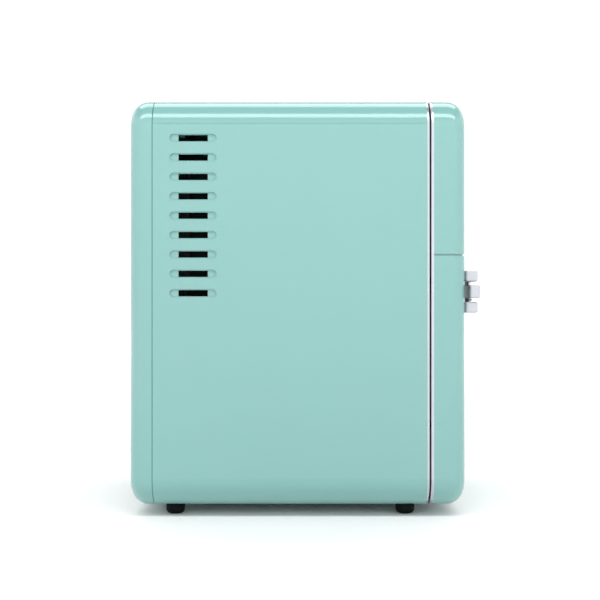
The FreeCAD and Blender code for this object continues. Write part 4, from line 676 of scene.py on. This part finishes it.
def capacitor(name, low, high):
    radius, height = (high[0] - low[0]) / 2, high[2] - low[2]
    base = Vector(((low[0] + high[0]) / 2, (low[1] + high[1]) / 2, low[2]))
    mesh = bmesh.new()
    turned(mesh, base, [(share * radius, level * height) for share, level in CAN_OUTLINE])
    piece(name, mesh, "black_plastic", "cabinet", "board_components")


def squareness(space):
    """How far a space's width is from its depth: nothing for a round can."""
    (left, near, _), (right, far, _) = space
    return abs((right - left) - (far - near))


def board_components():
    """The largest space is the transformer's, the next is the choke's, and the two squarest are cans."""
    spaces = []
    for points in solids_of("board_components"):
        spaces.append([[pick(point[axis] for point in points) for axis in range(3)] for pick in (min, max)])
    spaces.sort(key=lambda space: -math.prod(high - low for low, high in zip(*space)))
    transformer(*spaces[0])
    choke(*spaces[1])
    cans = sorted(spaces[2:], key=squareness)
    for side, space in zip(("left", "right"), sorted(cans[:2])):
        capacitor("capacitor_" + side, *space)
    regulator(*cans[2])


for screw_node, screw_body in (("rear_cover_screws", "cabinet"), ("rear_fan_screws", "cabinet"),
                               ("heat_sink_screws", "cabinet"), ("board_screws", "cabinet"),
                               ("hinge_screws", "cabinet"), ("latch_screws", "door")):
    screws(screw_node, screw_body)
for foot_name in ("foot_front_left", "foot_front_right", "foot_rear_left", "foot_rear_right"):
    foot(foot_name)
gasket()
board_components()
rotor("rear_fan_rotor", "rear_fan_frame", REAR_HUB, "rear_rotor")
rotor("inner_fan_rotor", "inner_fan_frame", INNER_HUB, "inner_rotor")

# ---------------------------------------------------------------- studio

FAR_LIGHT = 1.3
NEAR_LIGHT = 1.65
ZENITH_LIGHT = 0.12
LIT_POINT = (0, 0, 0.14)
STRIP_PLACE = (-0.80, 0.0, 1.32)
STRIP_SIZE = (2.4, 0.36)
STRIP_POWER = 17.5
BACK_PLACE = (0.52, 0.0, 1.50)
BACK_SIZE = (1.8, 0.70)
BACK_POWER = 12
FLOOR_SIZE = 24
FLOOR_GLOW = 0.9
FLOOR_FADE = (0.45, 2.2)
CAMERA_DISTANCE = 0.700
CAMERA_OFFSET = 0.0034
CAMERA_HEIGHT = 0.146
VIEW_WIDTH = 0.3986
SENSOR_WIDTH = 36


def area_light(name, place, size, power):
    """A rectangular lamp that points at the object."""
    data = bpy.data.lights.new(name, "AREA")
    data.shape = "RECTANGLE"
    data.size, data.size_y = size
    data.energy = power
    lamp = bpy.data.objects.new(name, data)
    bpy.context.scene.collection.objects.link(lamp)
    lamp.location = place
    lamp.rotation_euler = (Vector(LIT_POINT) - Vector(place)).to_track_quat("-Z", "Y").to_euler()


def floor():
    """A plain pale floor, far larger than the view, that stays pale into the distance."""
    bpy.ops.mesh.primitive_plane_add(size=FLOOR_SIZE)
    plane = bpy.context.object
    plane.name = "studio_floor"
    graph = Graph("pale_floor")
    grain = graph.noise(220, 2)
    graph.drive("Base Color", graph.blend(graph.spread(grain, 0, 1), (0.93, 0.93, 0.93), (0.95, 0.95, 0.95)))
    graph.drive("Roughness", graph.spread(grain, 0.55, 0.65))
    graph.drive("Emission Strength", graph.spread(graph.distance(), 0, FLOOR_GLOW, *FLOOR_FADE))
    graph.set(Specular_IOR_Level=0.2, Emission_Color=(1, 1, 1))
    plane.data.materials.append(graph.material)


def room_light():
    """A white room: brightest on the camera's side, dim straight overhead."""
    world = bpy.data.worlds.new("studio")
    world.use_nodes = True
    nodes = world.node_tree.nodes
    links = world.node_tree.links
    direction = nodes.new("ShaderNodeTexCoord").outputs["Generated"]
    split = nodes.new("ShaderNodeSeparateXYZ")
    links.new(direction, split.inputs["Vector"])

    def ramp(source, start, end, low, high):
        node = nodes.new("ShaderNodeMapRange")
        node.interpolation_type = "SMOOTHSTEP"
        node.inputs["From Min"].default_value = start
        node.inputs["From Max"].default_value = end
        for name, value in (("To Min", low), ("To Max", high)):
            if isinstance(value, bpy.types.NodeSocket):
                links.new(value, node.inputs[name])
            else:
                node.inputs[name].default_value = value
        links.new(source, node.inputs["Value"])
        return node.outputs["Result"]

    level = ramp(split.outputs["X"], -0.75, 0.15, NEAR_LIGHT, FAR_LIGHT)
    strength = ramp(split.outputs["Z"], 0.42, 0.80, level, ZENITH_LIGHT)
    links.new(strength, nodes["Background"].inputs["Strength"])
    nodes["Background"].inputs["Color"].default_value = (1, 1, 1, 1)
    bpy.context.scene.world = world


def studio():
    """The white room, a thin strip high on the camera's side and a softbox behind the top."""
    bpy.context.scene.view_settings.view_transform = "Standard"
    room_light()
    area_light("strip_light", STRIP_PLACE, STRIP_SIZE, STRIP_POWER)
    area_light("back_softbox", BACK_PLACE, BACK_SIZE, BACK_POWER)
    floor()


def camera():
    """Level with the cabinet's middle, square to its left side."""
    near_face = cad_box[0][0]
    data = bpy.data.cameras.new("camera")
    data.sensor_width = SENSOR_WIDTH
    data.lens = SENSOR_WIDTH * CAMERA_DISTANCE / VIEW_WIDTH
    data.dof.use_dof = False
    item = bpy.data.objects.new("camera", data)
    bpy.context.scene.collection.objects.link(item)
    item.location = (near_face - CAMERA_DISTANCE, CAMERA_OFFSET, CAMERA_HEIGHT)
    item.rotation_euler = (math.radians(90), 0, math.radians(-90))
    bpy.context.scene.camera = item


camera()
studio()
